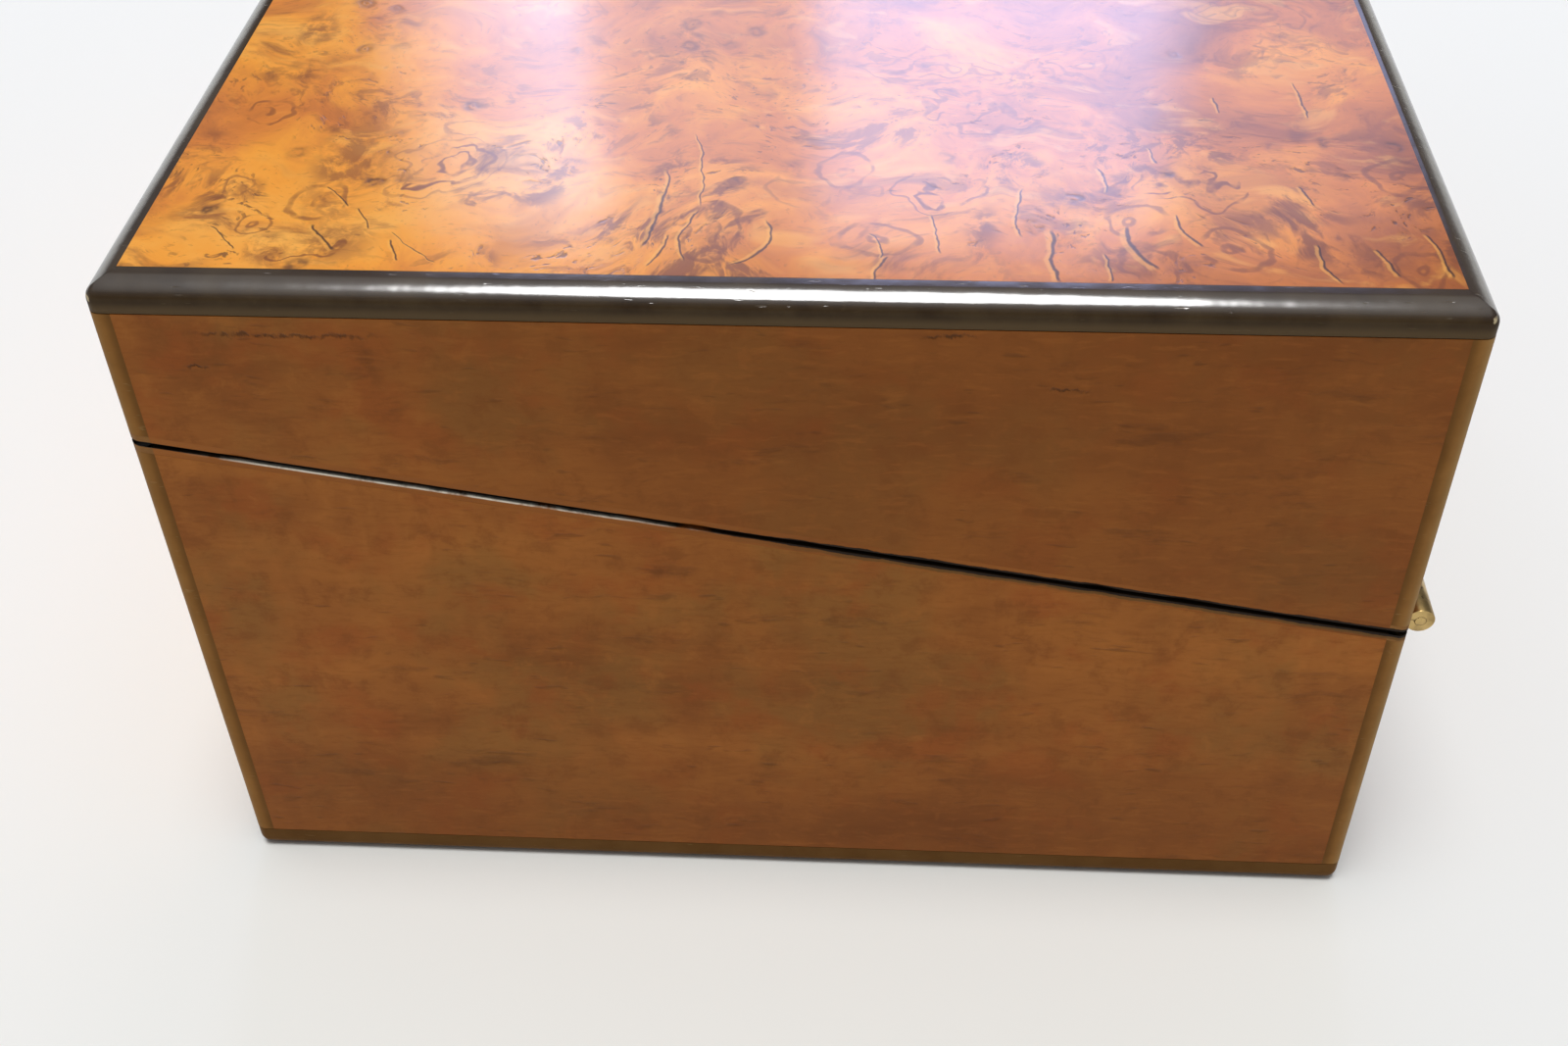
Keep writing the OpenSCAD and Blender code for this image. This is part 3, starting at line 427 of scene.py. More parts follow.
def plainWalnut(name, look, along, showEnd=False):
    material, shader, place = startMaterial(name)
    x, y, z = split(place)
    grain, upright = alongGrain(along, look["stretch"]), (1.0, 1.0, 0.22)
    curled = drifted(place, (22, 0.012))
    ground = cloud(stretched(curled, grain), 36, 7, 0.62)
    colour = shades(ground, (0.32, look["deep"]), (0.49, look["middle"]), (0.66, look["light"]))
    redPlace = stretched(drifted(place, (45, 0.008)), (1.0, 0.8, 1.0))
    for over, share, *cut in (("light", 0.42, stretched(place, upright), 34, 0.42, 0.66, 2),
                              ("deep", 0.24, stretched(curled, upright), 110, 0.48, 0.68, 3, 0.55),
                              ("olive", 0.55, curled, 27, 0.47, 0.62, 4, 0.6),
                              ("red", 0.50, redPlace, 62, 0.50, 0.66, 4, 0.6)):
        colour = veiled(colour, look[over], share, *cut)
    mottle = cloud(drifted(place, (70, 0.006)), 120, 5, 0.68)
    colour = overlaid(colour, fade(mottle, 0.50, 0.66), 0.46, look["deep"])
    colour = overlaid(colour, fade(mottle, 0.46, 0.32), 0.42, look["light"])
    # painted shade: darker towards the bottom of the face, for the reflected shadow of the box on the floor
    foot = fade(z + cloud(place, 40, 2) * 0.006, look["lowShadeHeight"] + 6 * mm, look["lowShadeHeight"] - 3 * mm)
    colour = overlaid(colour, foot, 0.42, look["deep"])
    if showEnd:  # the lid's end is a shade darker, most of all by the hinge
        lidPart = calc("GREATER_THAN", z, splitPlane(y))
        colour = overlaid(colour, lidPart * fade(y, *look["lidShade"]), 0.52, look["deep"])
    # Fine hair lines, streaks and short broken flecks along the grain
    hairPlace, palePlace = (stretched(drifted(place, push), grain) for push in ((60, 0.004), (90, 0.003)))
    colour = veiled(colour, look["deep"], 0.26, hairPlace, 1000, 0.46, 0.70, 3, 0.65)
    colour = veiled(colour, look["light"], 0.24, palePlace, 640, 0.52, 0.72, 3, 0.6)
    flecks = mask(hairPlace, 520, 0.62, 0.73, 2, 0.6) * mask(place, 45, 0.42, 0.58, 2)
    streaks = mask(hairPlace, 190, 0.57, 0.74, 5, 0.68)
    colour = overlaid(colour, streaks, 0.34, look["fleck"])
    colour = overlaid(colour, flecks, 0.32, look["fleck"])
    height = (flecks + streaks) * -0.4
    if showEnd:
        wobble = (cloud(stretched(place, (0, 1, 0.5)), 260, 5, 0.75) - 0.5) * (4.0 * mm)
        broken = mask(place, 520, 0.34, 0.56, 3, 0.6)
        for middleY, middleZ, reach, thick in look["cracks"]:
            across = abs(z - middleZ * mm + wobble)
            ends = fade(abs(y - middleY * mm), reach * mm, reach * 0.45 * mm)
            line = fade(across, thick * 1.7 * mm, thick * 0.3 * mm) * ends * broken
            colour = overlaid(colour, line, 0.72, look["fleck"])
            height = height - line
    height = height + cloud(place, 38, 3) * 1.2
    surfaced(shader, colour, spread(ground, 0.40, 0.58), raised(height, look["relief"]),
             {"IOR": 1.12, "Coat Weight": 0.15, "Coat Roughness": 0.22, "Coat IOR": 1.4}, True)
    return material


# Dark edging: stained and polished, with rubbed places and pale nicks, and on the corner and foot strips a
# painted highlight on the rounded arris and painted shade towards the veneer. Heights and nicks in
# millimetres
edgingLook = {
    "topDark": (0.034, 0.019, 0.008), "topBrown": (0.058, 0.036, 0.016), "topRub": (0.16, 0.11, 0.055),
    # the Rub colours of the corner and foot strips also paint the highlight on their arris
    "sideDark": (0.225, 0.098, 0.025), "sideBrown": (0.300, 0.136, 0.036), "sideRub": (0.46, 0.31, 0.13),
    "footDark": (0.160, 0.074, 0.018), "footBrown": (0.235, 0.116, 0.034), "footRub": (0.38, 0.24, 0.095),
    "topLow": (0.105, 0.066, 0.030), "lowBand": (148.7, 146.8), "polished": (149.2, 150.5),
    "joint": (0.110, 0.050, 0.015), "arrisHighlightPower": 3.0, "relief": 0.10 * mm,
    "nick": (0.62, 0.50, 0.30), "nicks": ((174.5, 119.0, 150.0, 0.9), (174.4, -119.3, 148.6, 0.8)),
}


def edgingWood(name, part, look):
    material, shader, place = startMaterial(name)
    top = part == "top"
    # rub colours rubbed wear and scratches, and on the corner and foot strips also the painted arris
    # highlight
    dark, brown, rub = (look[part + kind] for kind in ("Dark", "Brown", "Rub"))
    x, y, z = split(place)
    # worn is nearness to the outer edge: it steers rubbed wear, and on the corner and foot strips painted
    # highlight and painted shade
    tint, worn = (flow(place.tree, "ShaderNodeAttribute", output="Fac", attribute_name=layer)
                  for layer in ("stripTint", "outerEdgeNearness"))
    ground = cloud(drifted(place, (60, 0.006)), 90, 4, 0.6)
    colour = overlaid(shades(ground, (0.34, dark), (0.62, brown)), tint, 0.35, brown)
    rubbed = mask(place, 150, 0.62, 0.76, 5, 0.7) * (worn * 0.7 + 0.10)
    if not top:  # painted highlight: the rounded arris of the corner and foot strips is painted pale, more by the hinge
        rubbed = more(rubbed, calc("POWER", worn, look["arrisHighlightPower"]) * (fade(y, -0.05, 0.08) * 0.48 + 0.42))
    colour = layered(rubbed, colour, rub)
    if top:  # browner where it meets the veneer
        colour = overlaid(colour, fade(z, *(v * mm for v in look["lowBand"])), 0.85, look["topLow"])
    else:  # painted shade: the inner part of the corner and foot strips, towards the veneer, is painted darker
        colour = overlaid(colour, fade(worn, 0.50, 0.02), 0.62, look["joint"])
    scratches = mask(stretched(place, (3.2, 0.5, 3.2), (0, 0, 0.35)), 420, 0.68, 0.76, 2, 0.6)
    colour = overlaid(colour, scratches, 0.25, rub)
    for *spot, size in look["nicks"] if top else ():
        off = vectorMath("DISTANCE", drifted(place, (500, 0.0030)), [v * mm for v in spot], "Value")
        colour = overlaid(colour, fade(off, size * mm, size * 0.55 * mm), 0.8, look["nick"])
    normal = raised(cloud(place, 70, 3) * 1.6 - scratches * 0.35, look["relief"])
    surfaced(shader, colour, spread(rubbed, 0.30, 0.60), normal,
             {"IOR": 1.12 if top else 1.06, "Coat Weight": 0.03, "Coat Roughness": 0.15,
              "Coat IOR": 2.0 if top else 1.3}, True)
    if top:  # polished above, dull on the upright face
        polish = fade(z, *(v * mm for v in look["polished"]))
        link(polish * 0.95 + 0.05, shader.inputs["Coat Weight"])
    return material


# Wood of the carcass and of the fittings inside
insideLook = {
    "carcass": {"light": (0.42, 0.225, 0.095), "deep": (0.27, 0.125, 0.048), "line": (0.12, 0.050, 0.020),
                "coat": 0.0},
    "fitting": {"light": (0.230, 0.068, 0.024), "deep": (0.120, 0.032, 0.012), "line": (0.040, 0.012, 0.006),
                "coat": 0.35},
}


def insideWood(name, look, along):
    material, shader, place = startMaterial(name)
    long = stretched(drifted(place, (12, 0.010)), alongGrain(along, 0.06))
    ground = cloud(long, 150, 4, 0.6)
    colour = shades(ground, (0.32, look["deep"]), (0.66, look["light"]))
    rings = fade(calc("SINE", cloud(long, 36, 2) * 70.0), 0.2, 1.0)
    pores = mask(long, 1500, 0.60, 0.72, 2, 0.6)
    rub = mask(place, 60, 0.56, 0.72, 4, 0.6)
    for amount, share, over in ((rings, 0.28, "deep"), (pores, 0.55, "line"), (rub, 0.18, "light")):
        colour = overlaid(colour, amount, share, look[over])
    surfaced(shader, colour, spread(rub, 0.42, 0.62), raised(ground * 0.4 - pores, 0.08 * mm),
             {"IOR": 1.45, "Coat Weight": look["coat"], "Coat Roughness": 0.25})
    return material


# Old brass and lock iron
metalLook = {
    "brass": {"clean": (0.56, 0.39, 0.155), "dull": (0.30, 0.20, 0.078), "spot": (0.12, 0.078, 0.033),
              "rough": (0.22, 0.46)},
    "iron": {"clean": (0.30, 0.29, 0.275), "dull": (0.13, 0.115, 0.10), "spot": (0.12, 0.050, 0.022),
             "rough": (0.38, 0.66)},
}


def oldMetal(name, look):
    material, shader, place = startMaterial(name)
    film = cloud(place, 130, 5, 0.65)
    colour = layered(fade(film, 0.40, 0.66), look["clean"], look["dull"])
    colour = veiled(colour, look["spot"], 0.7, place, 620, 0.62, 0.70, 3, 0.6)
    brushed = cloud(stretched(place, (0.05, 1, 1)), 3500, 2)
    surfaced(shader, colour, spread(film, *look["rough"], 0.3, 0.7), raised(brushed * 0.4 + film, 0.05 * mm),
             {"Metallic": 1.0})
    return material


# Leather of the writing surface, its gilt lines, thread, felt, glass and ink
softLook = {
    "leather": (0.018, 0.070, 0.040), "leatherDeep": (0.008, 0.030, 0.018),
    "leatherRub": (0.060, 0.120, 0.070),
    "felt": (0.020, 0.085, 0.050), "feltDeep": (0.008, 0.035, 0.022), "thread": (0.42, 0.34, 0.20),
    "gilt": (0.80, 0.56, 0.20), "giltWorn": (0.20, 0.17, 0.08), "inkStain": (0.006, 0.006, 0.012),
    "glassDeep": (0.86, 0.95, 0.93), "glass": (0.95, 0.99, 0.98),
    "inkDeep": (0.003, 0.004, 0.012), "ink": (0.012, 0.012, 0.030),
}


def skiverLeather(look):
    material, shader, place = startMaterial("skiverLeather")
    colour = shades(cloud(place, 24, 4, 0.6), (0.34, look["leatherDeep"]), (0.62, look["leather"]))
    bent = drifted(place, (500, 0.0008))
    pebbles = flow(place.tree, "ShaderNodeTexVoronoi", {"Vector": bent, "Scale": 1150.0}, "Distance",
                   feature="DISTANCE_TO_EDGE")
    creases = fade(pebbles, 0.14, 0.02)
    rubbed = mask(place, 14, 0.55, 0.72, 5, 0.65)
    blot, chance = cells(drifted(place, (200, 0.003)), 26.0)
    stain = fade(blot, 0.055, 0.03) * calc("GREATER_THAN", chance[1], 0.88)
    for amount, share, over in ((creases, 0.45, "leatherDeep"), (rubbed, 0.45, "leatherRub"),
                                (stain, 0.8, "inkStain")):
        colour = overlaid(colour, amount, share, look[over])
    surfaced(shader, colour, spread(rubbed, 0.50, 0.36), raised(cloud(place, 300, 2) - creases, 0.09 * mm),
             {"IOR": 1.45, "Sheen Weight": 0.08, "Sheen Roughness": 0.4})
    return material


def giltLines(look):
    material, shader, place = startMaterial("giltLines")
    worn = mask(place, 210, 0.50, 0.66, 5, 0.7)
    surfaced(shader, layered(worn, look["gilt"], look["giltWorn"]), spread(worn, 0.30, 0.62),
             raised(cloud(place, 1100, 2), 0.04 * mm), {"Metallic": 0.85})
    return material


def woolFelt(look):
    material, shader, place = startMaterial("woolFelt")
    lint = cloud(place, 900, 4, 0.75)
    colour = shades(lint * 0.6 + cloud(place, 30, 3) * 0.4, (0.38, look["feltDeep"]), (0.60, look["felt"]))
    surfaced(shader, colour, spread(lint, 0.86, 1.0), raised(lint, 0.35 * mm),
             {"Sheen Weight": 0.5, "Sheen Roughness": 0.6, "Specular IOR Level": 0.2})
    return material


def grainedStuff(name, stuff, stops, rough, relief, fixed):  # one cloud for colour, roughness and relief
    material, shader, place = startMaterial(name)
    grain = stuff(place)
    surfaced(shader, shades(grain, *stops), spread(grain, *rough), raised(grain, relief), fixed)
    return material


def makeMaterials():
    thread, glassStops = softLook["thread"], ((0.3, softLook["glassDeep"]), (0.7, softLook["glass"]))
    threadStops = ((0.35, tuple(v * 0.5 for v in thread)), (0.62, thread))
    inkStops = ((0.35, softLook["inkDeep"]), (0.7, softLook["ink"]))
    return {
        "burr": burrWalnut(burrLook),
        "plainEnd": plainWalnut("plainWalnutEnd", plainLook, "y"),
        "plainShow": plainWalnut("plainWalnutShowEnd", plainLook, "y", True),
        "plainLong": plainWalnut("plainWalnutLong", plainLook, "x"),
        "top": edgingWood("darkTopEdging", "top", edgingLook),
        "side": edgingWood("brownCornerStrip", "side", edgingLook),
        "foot": edgingWood("brownFootEdging", "foot", edgingLook),
        "carcassX": insideWood("carcassWoodLong", insideLook["carcass"], "x"),
        "carcassY": insideWood("carcassWoodShort", insideLook["carcass"], "y"),
        "fittingX": insideWood("fittingWoodLong", insideLook["fitting"], "x"),
        "fittingY": insideWood("fittingWoodShort", insideLook["fitting"], "y"),
        "brass": oldMetal("oldBrass", metalLook["brass"]),
        "iron": oldMetal("lockIron", metalLook["iron"]),
        "leather": skiverLeather(softLook), "gilt": giltLines(softLook), "felt": woolFelt(softLook),
        "thread": grainedStuff("waxedThread",
                               lambda p: cloud(stretched(p, (1, 0.3, 1), (0, 0, 0.8)), 2600, 2), threadStops,
                               (0.6, 0.85), 0.10 * mm, {"Sheen Weight": 0.2}),
        "glass": grainedStuff("mouldedGlass", lambda p: cloud(p, 140, 3), glassStops, (0.01, 0.07), 0.25 * mm,
                              {"Transmission Weight": 1.0, "IOR": 1.5}),
        "ink": grainedStuff("driedInk", lambda p: cloud(p, 260, 4, 0.6), inkStops, (0.12, 0.5), 0.3 * mm,
                            {"IOR": 1.4}),
    }


finish = makeMaterials()
print("materials made")


# Mesh helpers

def newPiece(name, mesh):
    piece = bpy.data.objects.new(name, mesh)
    scene.collection.objects.link(piece)
    return piece


def rawPiece(name, points, edges=(), faces=()):
    mesh = bpy.data.meshes.new(name)
    mesh.from_pydata([tuple(p) for p in points], edges, faces)
    return newPiece(name, mesh)


def tidied(mesh, weld=1e-6):
    work = bmesh.new()
    work.from_mesh(mesh)
    bmesh.ops.remove_doubles(work, verts=work.verts, dist=weld)
    bmesh.ops.recalc_face_normals(work, faces=work.faces)
    work.to_mesh(mesh)
    work.free()


def fromFaces(name, points, faces):
    piece = rawPiece(name, points, (), faces)
    tidied(piece.data)
    return piece


def smoothed(piece, degrees=35):
    piece.data.shade_smooth()
    piece.data.set_sharp_from_angle(angle=math.radians(degrees))
    return piece


def moved(piece, x, y, z):
    piece.data.transform(Matrix.Translation((x, y, z)))
    return piece


def mirrored(piece):  # upside down, as the lid's half of a thing lies
    piece.data.transform(Matrix.Scale(-1, 4, (0, 0, 1)))
    piece.data.flip_normals()


def onSlope(piece):  # from level, with the hinge axis at zero, to where the split lies
    piece.data.transform(slopeFrame)
    return piece


def discarded(*pieces):
    for piece in pieces:
        bpy.data.objects.remove(piece)


def joined(name, *pieces):
    work = bmesh.new()
    for piece in pieces:
        work.from_mesh(piece.data)
    mesh = bpy.data.meshes.new(name)
    work.to_mesh(mesh)
    work.free()
    discarded(*pieces)
    return newPiece(name, mesh)


def applied(piece):  # turns a piece and its modifiers into a plain mesh
    bpy.context.view_layer.update()
    graph = bpy.context.evaluated_depsgraph_get()
    mesh = bpy.data.meshes.new_from_object(piece.evaluated_get(graph), preserve_all_data_layers=True,
                                           depsgraph=graph)
    piece.modifiers.clear()
    piece.data = mesh
    return piece


def rounded(piece, width, segments=2, degrees=30):
    bevel = piece.modifiers.new("soften", "BEVEL")
    bevel.width = width
    bevel.segments = segments
    bevel.limit_method = "ANGLE"
    bevel.angle_limit = math.radians(degrees)
    return applied(piece)


def cutBy(piece, cutter, operation="DIFFERENCE"):
    carve = piece.modifiers.new("carve", "BOOLEAN")
    carve.operation = operation
    carve.solver = "EXACT"
    carve.object = cutter
    applied(piece)
    discarded(cutter)
    return piece


def placed(piece, body, slot, material, *standsFor):
    piece.data.materials.clear()
    piece.data.materials.append(finish[material])
    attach(piece, body)
    if standsFor:
        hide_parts(*standsFor)


def softCopy(node, width, segments=2):  # a merged copy of a CAD node with eased edges
    mesh = cadNodes[node].data.copy()
    mesh.materials.clear()
    work = bmesh.new()
    work.from_mesh(mesh)
    bmesh.ops.remove_doubles(work, verts=work.verts, dist=2e-6)
    bmesh.ops.dissolve_limit(work, angle_limit=math.radians(0.6), verts=work.verts, edges=work.edges)
    work.to_mesh(mesh)
    work.free()
    return smoothed(rounded(newPiece(node + "Eased", mesh), width, segments), 40)


def wornAway(piece, depth, scale, chip=0.0, chipScale=0.0, where=None):  # rubs inwards, never outwards
    work = bmesh.new()
    work.from_mesh(piece.data)
    work.normal_update()
    moves = []
    for vert in work.verts:
        amount = depth * (0.5 + 0.5 * noise.noise(vert.co * scale))
        if chip and where(vert):
            bite = noise.noise(vert.co * chipScale + Vector((7, 3, 1)))
            amount += chip * max(0.0, bite - 0.18)
        moves.append(vert.normal * -amount)
    for vert, move in zip(work.verts, moves):
        vert.co += move
    work.to_mesh(piece.data)
    work.free()


def addValue(piece, name, values):  # one number for each corner point, read by the material
    piece.data.attributes.new(name, "FLOAT", "POINT").data.foreach_set("value", values)


def sliced(piece, axis, step):  # adds cuts across a long piece, so that wear has points to move
    work = bmesh.new()
    work.from_mesh(piece.data)
    places = [v.co[axis] for v in work.verts]
    unit = Vector([1 if k == axis else 0 for k in range(3)])
    at = min(places) + step
    while at < max(places) - step / 2:
        whole = work.verts[:] + work.edges[:] + work.faces[:]
        bmesh.ops.bisect_plane(work, geom=whole, plane_co=unit * at, plane_no=unit)
        at += step
    work.to_mesh(piece.data)
    work.free()
    return piece


def woven(first, rows, size, roundRows=False, roundSize=True):  # faces between rows of points
    def spot(row, k):
        return first + row % rows * size + k % size

    return [(spot(r, k), spot(r, k + 1), spot(r + 1, k + 1), spot(r + 1, k))
            for r in range(rows if roundRows else rows - 1) for k in range(size if roundSize else size - 1)]


def bar(first, rows, size):  # the same with a face at both ends
    last = first + (rows - 1) * size
    return woven(first, rows, size) + [tuple(range(first, first + size)), tuple(range(last, last + size))]


def slab(name, countX, countY, spot):  # two grids of points, joined round their rims
    shift = countX * countY
    faces = woven(0, countX, countY, False, False) + woven(shift, countX, countY, False, False)
    ring = [i * countY for i in range(countX)] + [shift - countY + j for j in range(1, countY)]
    ring += [i * countY + countY - 1 for i in range(countX - 2, -1, -1)] + list(range(countY - 2, 0, -1))
    faces += [(a, b, b + shift, a + shift) for a, b in zip(ring, ring[1:] + ring[:1])]
    points = [spot(i, j, level) for level in (0, 1) for i in range(countX) for j in range(countY)]
    return fromFaces(name, points, faces)


def lathed(name, steps, *profile, closed=False):  # a profile of (radius, height) turned about Z
    points = []
    for k in range(steps):
        a = 2 * math.pi * k / steps
        points += [(r * math.cos(a), r * math.sin(a), z) for r, z in profile]
    return fromFaces(name, points, woven(0, steps, len(profile), True, closed))


def block(name, low, high):
    points = [(x, y, z) for x in (low[0], high[0]) for y in (low[1], high[1]) for z in (low[2], high[2])]
    return fromFaces(name, points, [(0, 1, 3, 2), (4, 6, 7, 5), (0, 4, 5, 1), (2, 3, 7, 6), (0, 2, 6, 4),
                                    (1, 5, 7, 3)])


# Edging strips that run round the box, mitred at the corners. Bends: from and to degrees, radius
topEdging = metres(endWidth=6.0, sideWidth=5.0, height=6.0, wear=0.04, wearScale=60, worn=1.6, step=3.0,
                   bendSteps=6, bends=((0, 20, 2.0 * mm), (20, 36, 9.5 * mm), (36, 90, 3.0 * mm)))
footEdging = metres(endWidth=6.0, sideWidth=6.0, height=6.0, wear=0.07, wearScale=50, worn=1.2, step=3.0,
                    bendSteps=10, bends=((0, 90, 3.0 * mm),))
mitre = metres(groove=0.22, gap=0.025, steps=5)


def edgeProfile(size, flip):  # insets from the end and from the side of the box, and the height
    arc, steps, groove = [(0.0, 0.0)], size["bendSteps"], mitre["groove"]
    for start, end, radius in size["bends"]:
        for k in range(1, steps + 1):
            a, b = (math.radians(start + (end - start) * q / steps) for q in (k - 1, k))
            x, z = arc[-1]
            arc.append((x + radius * (math.sin(b) - math.sin(a)), z + radius * (math.cos(a) - math.cos(b))))
    reach, height = arc[-1][0], size["height"]
    rows = [(groove, groove, 0.0), (0.0, 0.0, groove)]
    rows += [(reach - x, reach - x, height - z) for x, z in reversed(arc)]
    rows += [(size["endWidth"], size["sideWidth"], height), (size["endWidth"], size["sideWidth"], 0.0)]
    return [(a, b, height - h) for a, b, h in rows] if flip else rows


def tintedStrips(name, points, faces, tints, weld):
    strips = rawPiece(name, points, (), faces)
    addValue(strips, "stripTint", tints)
    tidied(strips.data, weld)
    return strips


def edgeStrips(name, profile, base, step):
    points, faces, tints = [], [], []
    turns = [math.pi / 4 * k / mitre["steps"] for k in range(mitre["steps"] + 1)]
    for side, (nx, ny) in enumerate(((1, 0), (0, 1), (-1, 0), (0, -1))):
        longSide = side % 2 == 1
        outN, outT = (halfDepth, halfLength) if longSide else (halfLength, halfDepth)
        count = int(2 * outT / step)
        stations = [(-1, -a) for a in reversed(turns)] + [(0, k / count) for k in range(1, count)]
        stations += [(1, a) for a in turns]
        faces += bar(len(points), len(stations), len(profile))
        for end, value in stations:
            for insetEnd, insetSide, height in profile:
                insetN, insetT = (insetSide, insetEnd) if longSide else (insetEnd, insetSide)
                turn = max(box["cornerRadius"] - min(insetEnd, insetSide), 0)
                centreN, centreT = outN - insetN - turn, outT - insetT - turn
                n, t = centreN + turn, centreT * (2 * value - 1)
                if end:
                    n, t = centreN + turn * math.cos(value), end * centreT + turn * math.sin(value)
                t *= 1 - mitre["gap"] / outT
                points.append((nx * n - ny * t, ny * n + nx * t, base + height))
                tints.append((0.1, 0.9, 0.5, 0.3)[side])
    return tintedStrips(name, points, faces, tints, 2e-6)


def rubbedStrips(strips, size, body, material, node):  # worn inwards, with a mark of nearness to the outer edge that the materials read for rubbed wear, painted highlight and painted shade
    wornAway(strips, size["wear"], size["wearScale"])
    marks = []
    for vert in strips.data.vertices:
        edge = max(halfLength - abs(vert.co.x), halfDepth - abs(vert.co.y))
        marks.append(max(0.0, 1.0 - edge / size["worn"]))
    addValue(strips, "outerEdgeNearness", marks)
    smoothed(strips, 42)
    placed(strips, body, "ebonised_wood", material, node)


def makeEdging(name, size, base, body, material, node):
    strips = edgeStrips(name, edgeProfile(size, body == "base"), base, size["step"])
    rubbedStrips(strips, size, body, material, node)


makeEdging("topEdgingStrips", topEdging, box["height"] - topEdging["height"], "lid", "top", "top_edging")
makeEdging("footEdgingStrips", footEdging, 0.0, "base", "foot", "bottom_edging")


# Dark strips let into the upright corners
cornerStrips = metres(arcSteps=8, slice=5.0, wear=0.05, wearScale=55, worn=4.2, lidRise=1.9, baseDrop=2.1)


def cornerSection(steps):  # insets from the two outer faces
    width, radius = box["cornerStrip"], box["cornerRadius"]
    arc = [(radius - radius * math.cos(a), radius - radius * math.sin(a))
           for a in (math.pi / 2 * k / steps for k in range(steps + 1))]
    return [(0.0, width)] + arc + [(width, 0.0), (width, width)]


def makeCornerStrips(size, body):
    section, top = cornerSection(size["arcSteps"]), box["height"] - box["topEdge"]
    points, faces, tints = [], [], []
    for index, (sx, sy) in enumerate(((1, 1), (-1, 1), (-1, -1), (1, -1))):
        seam = splitHeight(sy * (halfDepth - box["cornerStrip"] / 2))
        count = max(2, int((top - seam if body == "lid" else seam) / size["slice"]))
        faces += bar(len(points), count + 1, len(section))
        for row in range(count + 1):
            for a, b in section:
                x, y = sx * (halfLength - a), sy * (halfDepth - b)
                low, high = box["bottomEdge"], splitHeight(y) - size["baseDrop"] / slopeCos
                if body == "lid":
                    low, high = splitHeight(y) + size["lidRise"] / slopeCos, top
                points.append((x, y, low + (high - low) * row / count))
                tints.append(index / 4)
    strips = tintedStrips(body + "CornerStrips", points, faces, tints, 1e-6)
    rubbedStrips(strips, size, body, "side", body + "_corner_edging")


makeCornerStrips(cornerStrips, "base")
makeCornerStrips(cornerStrips, "lid")
print("edging made")


# Facings of the two rims: walnut, with a painted highlight as a pale glint line on the base's rim at the lock
# side, painted shadow of the seam gap as a dark band along the split, widest by the hinge, and a ragged worn
# brown band by the hinge. Depths are millimetres off the rim's own face
rimLook = {
    # dark is the colour of the painted seam-gap shadow; rubbed is the colour of the painted glint highlight
    "dark": (0.020, 0.012, 0.007), "worn": (0.150, 0.072, 0.018), "rubbed": (0.88, 0.82, 0.68),
    "gapShadowDepth": 0.45, "wornDepth": {"base": 1.2, "lid": 0.35}, "glintDepth": 0.50,
    "hingeSide": (-0.010, 0.045), "glintLock": (-0.112, -0.092), "glintHinge": (-0.008, -0.045),
}
rimFacings = metres(ease=0.35, slice=4.0, wear=0.03, wearScale=90, chip=0.5, chipScale=160,
                    chipSide=0.5, chipDeep=0.8)


def rimFacingWood(look, body):
    material, shader, place = startMaterial(body + "RimWood")
    x, y, z = split(place)
    off = abs(splitPlane(y) - z) * (slopeCos / mm) - box["seamHalf"] / mm
    patchy = cloud(place, 130, 4, 0.65)
    ragged = patchy - 0.5
    walnut = shades(cloud(stretched(drifted(place, (22, 0.010)), (1, 0.22, 1)), 30, 5, 0.6),
                    (0.30, plainLook["deep"]), (0.48, plainLook["middle"]), (0.70, plainLook["light"]))
    strip = shades(cloud(place, 90, 4, 0.6), (0.34, edgingLook["sideDark"]), (0.62, edgingLook["sideBrown"]))
    fromEnd, fromSide = halfLength - abs(x), halfDepth - abs(y)
    colour = layered(calc("LESS_THAN", more(fromEnd, fromSide), box["cornerStrip"]), walnut, strip)
    hingeSide = fade(y + patchy * 0.03, *look["hingeSide"])
    worn = fade(off - (ragged * 2.0 + look["wornDepth"][body]), 0.2, -0.2) * hingeSide
    colour = overlaid(colour, worn, 0.9, look["worn"])
    # painted shadow of the seam gap: a dark band along the split, wider and ragged by the hinge
    gapShadowDepth = (ragged + look["gapShadowDepth"]) * (hingeSide + 0.15)
    colour = layered(fade(off - gapShadowDepth, 0.10, -0.05), colour, look["dark"])
    if body == "base":
        # painted highlight: a pale glint line along the outer top edge of the base's rim, at the lock side
        along = fade(y, *look["glintLock"]) * fade(y, *look["glintHinge"])
        line = fade(off, look["glintDepth"], look["glintDepth"] - 0.2) * fade(off, -0.05, 0.08)
        line = line * along * fade(patchy, 0.34, 0.56) * fade(fromEnd, 1.0 * mm, 0.5 * mm)
        colour = overlaid(colour, line, 0.85, look["rubbed"])
    surfaced(shader, colour, spread(hingeSide, 0.34, 0.58), raised(patchy, 0.10 * mm),
             {"IOR": 1.15, "Coat Weight": 0.08, "Coat Roughness": 0.2}, True)
    return material


def makeRimFacing(size, body):
    def onOuterEdge(vert):
        side = min(halfLength - abs(vert.co.x), halfDepth - abs(vert.co.y))
        deep = abs(vert.co.z - splitHeight(vert.co.y)) * slopeCos
        return side < size["chipSide"] and deep < size["chipDeep"]

    node = body + "_rim_facing"
    facing = sliced(sliced(softCopy(node, size["ease"], 3), 1, size["slice"]), 0, size["slice"])
    facing.name = body + "RimFacing"
    wornAway(facing, size["wear"], size["wearScale"], size["chip"], size["chipScale"], onOuterEdge)
    placed(smoothed(facing, 40), body, "ebonised_wood", body + "Rim", node)


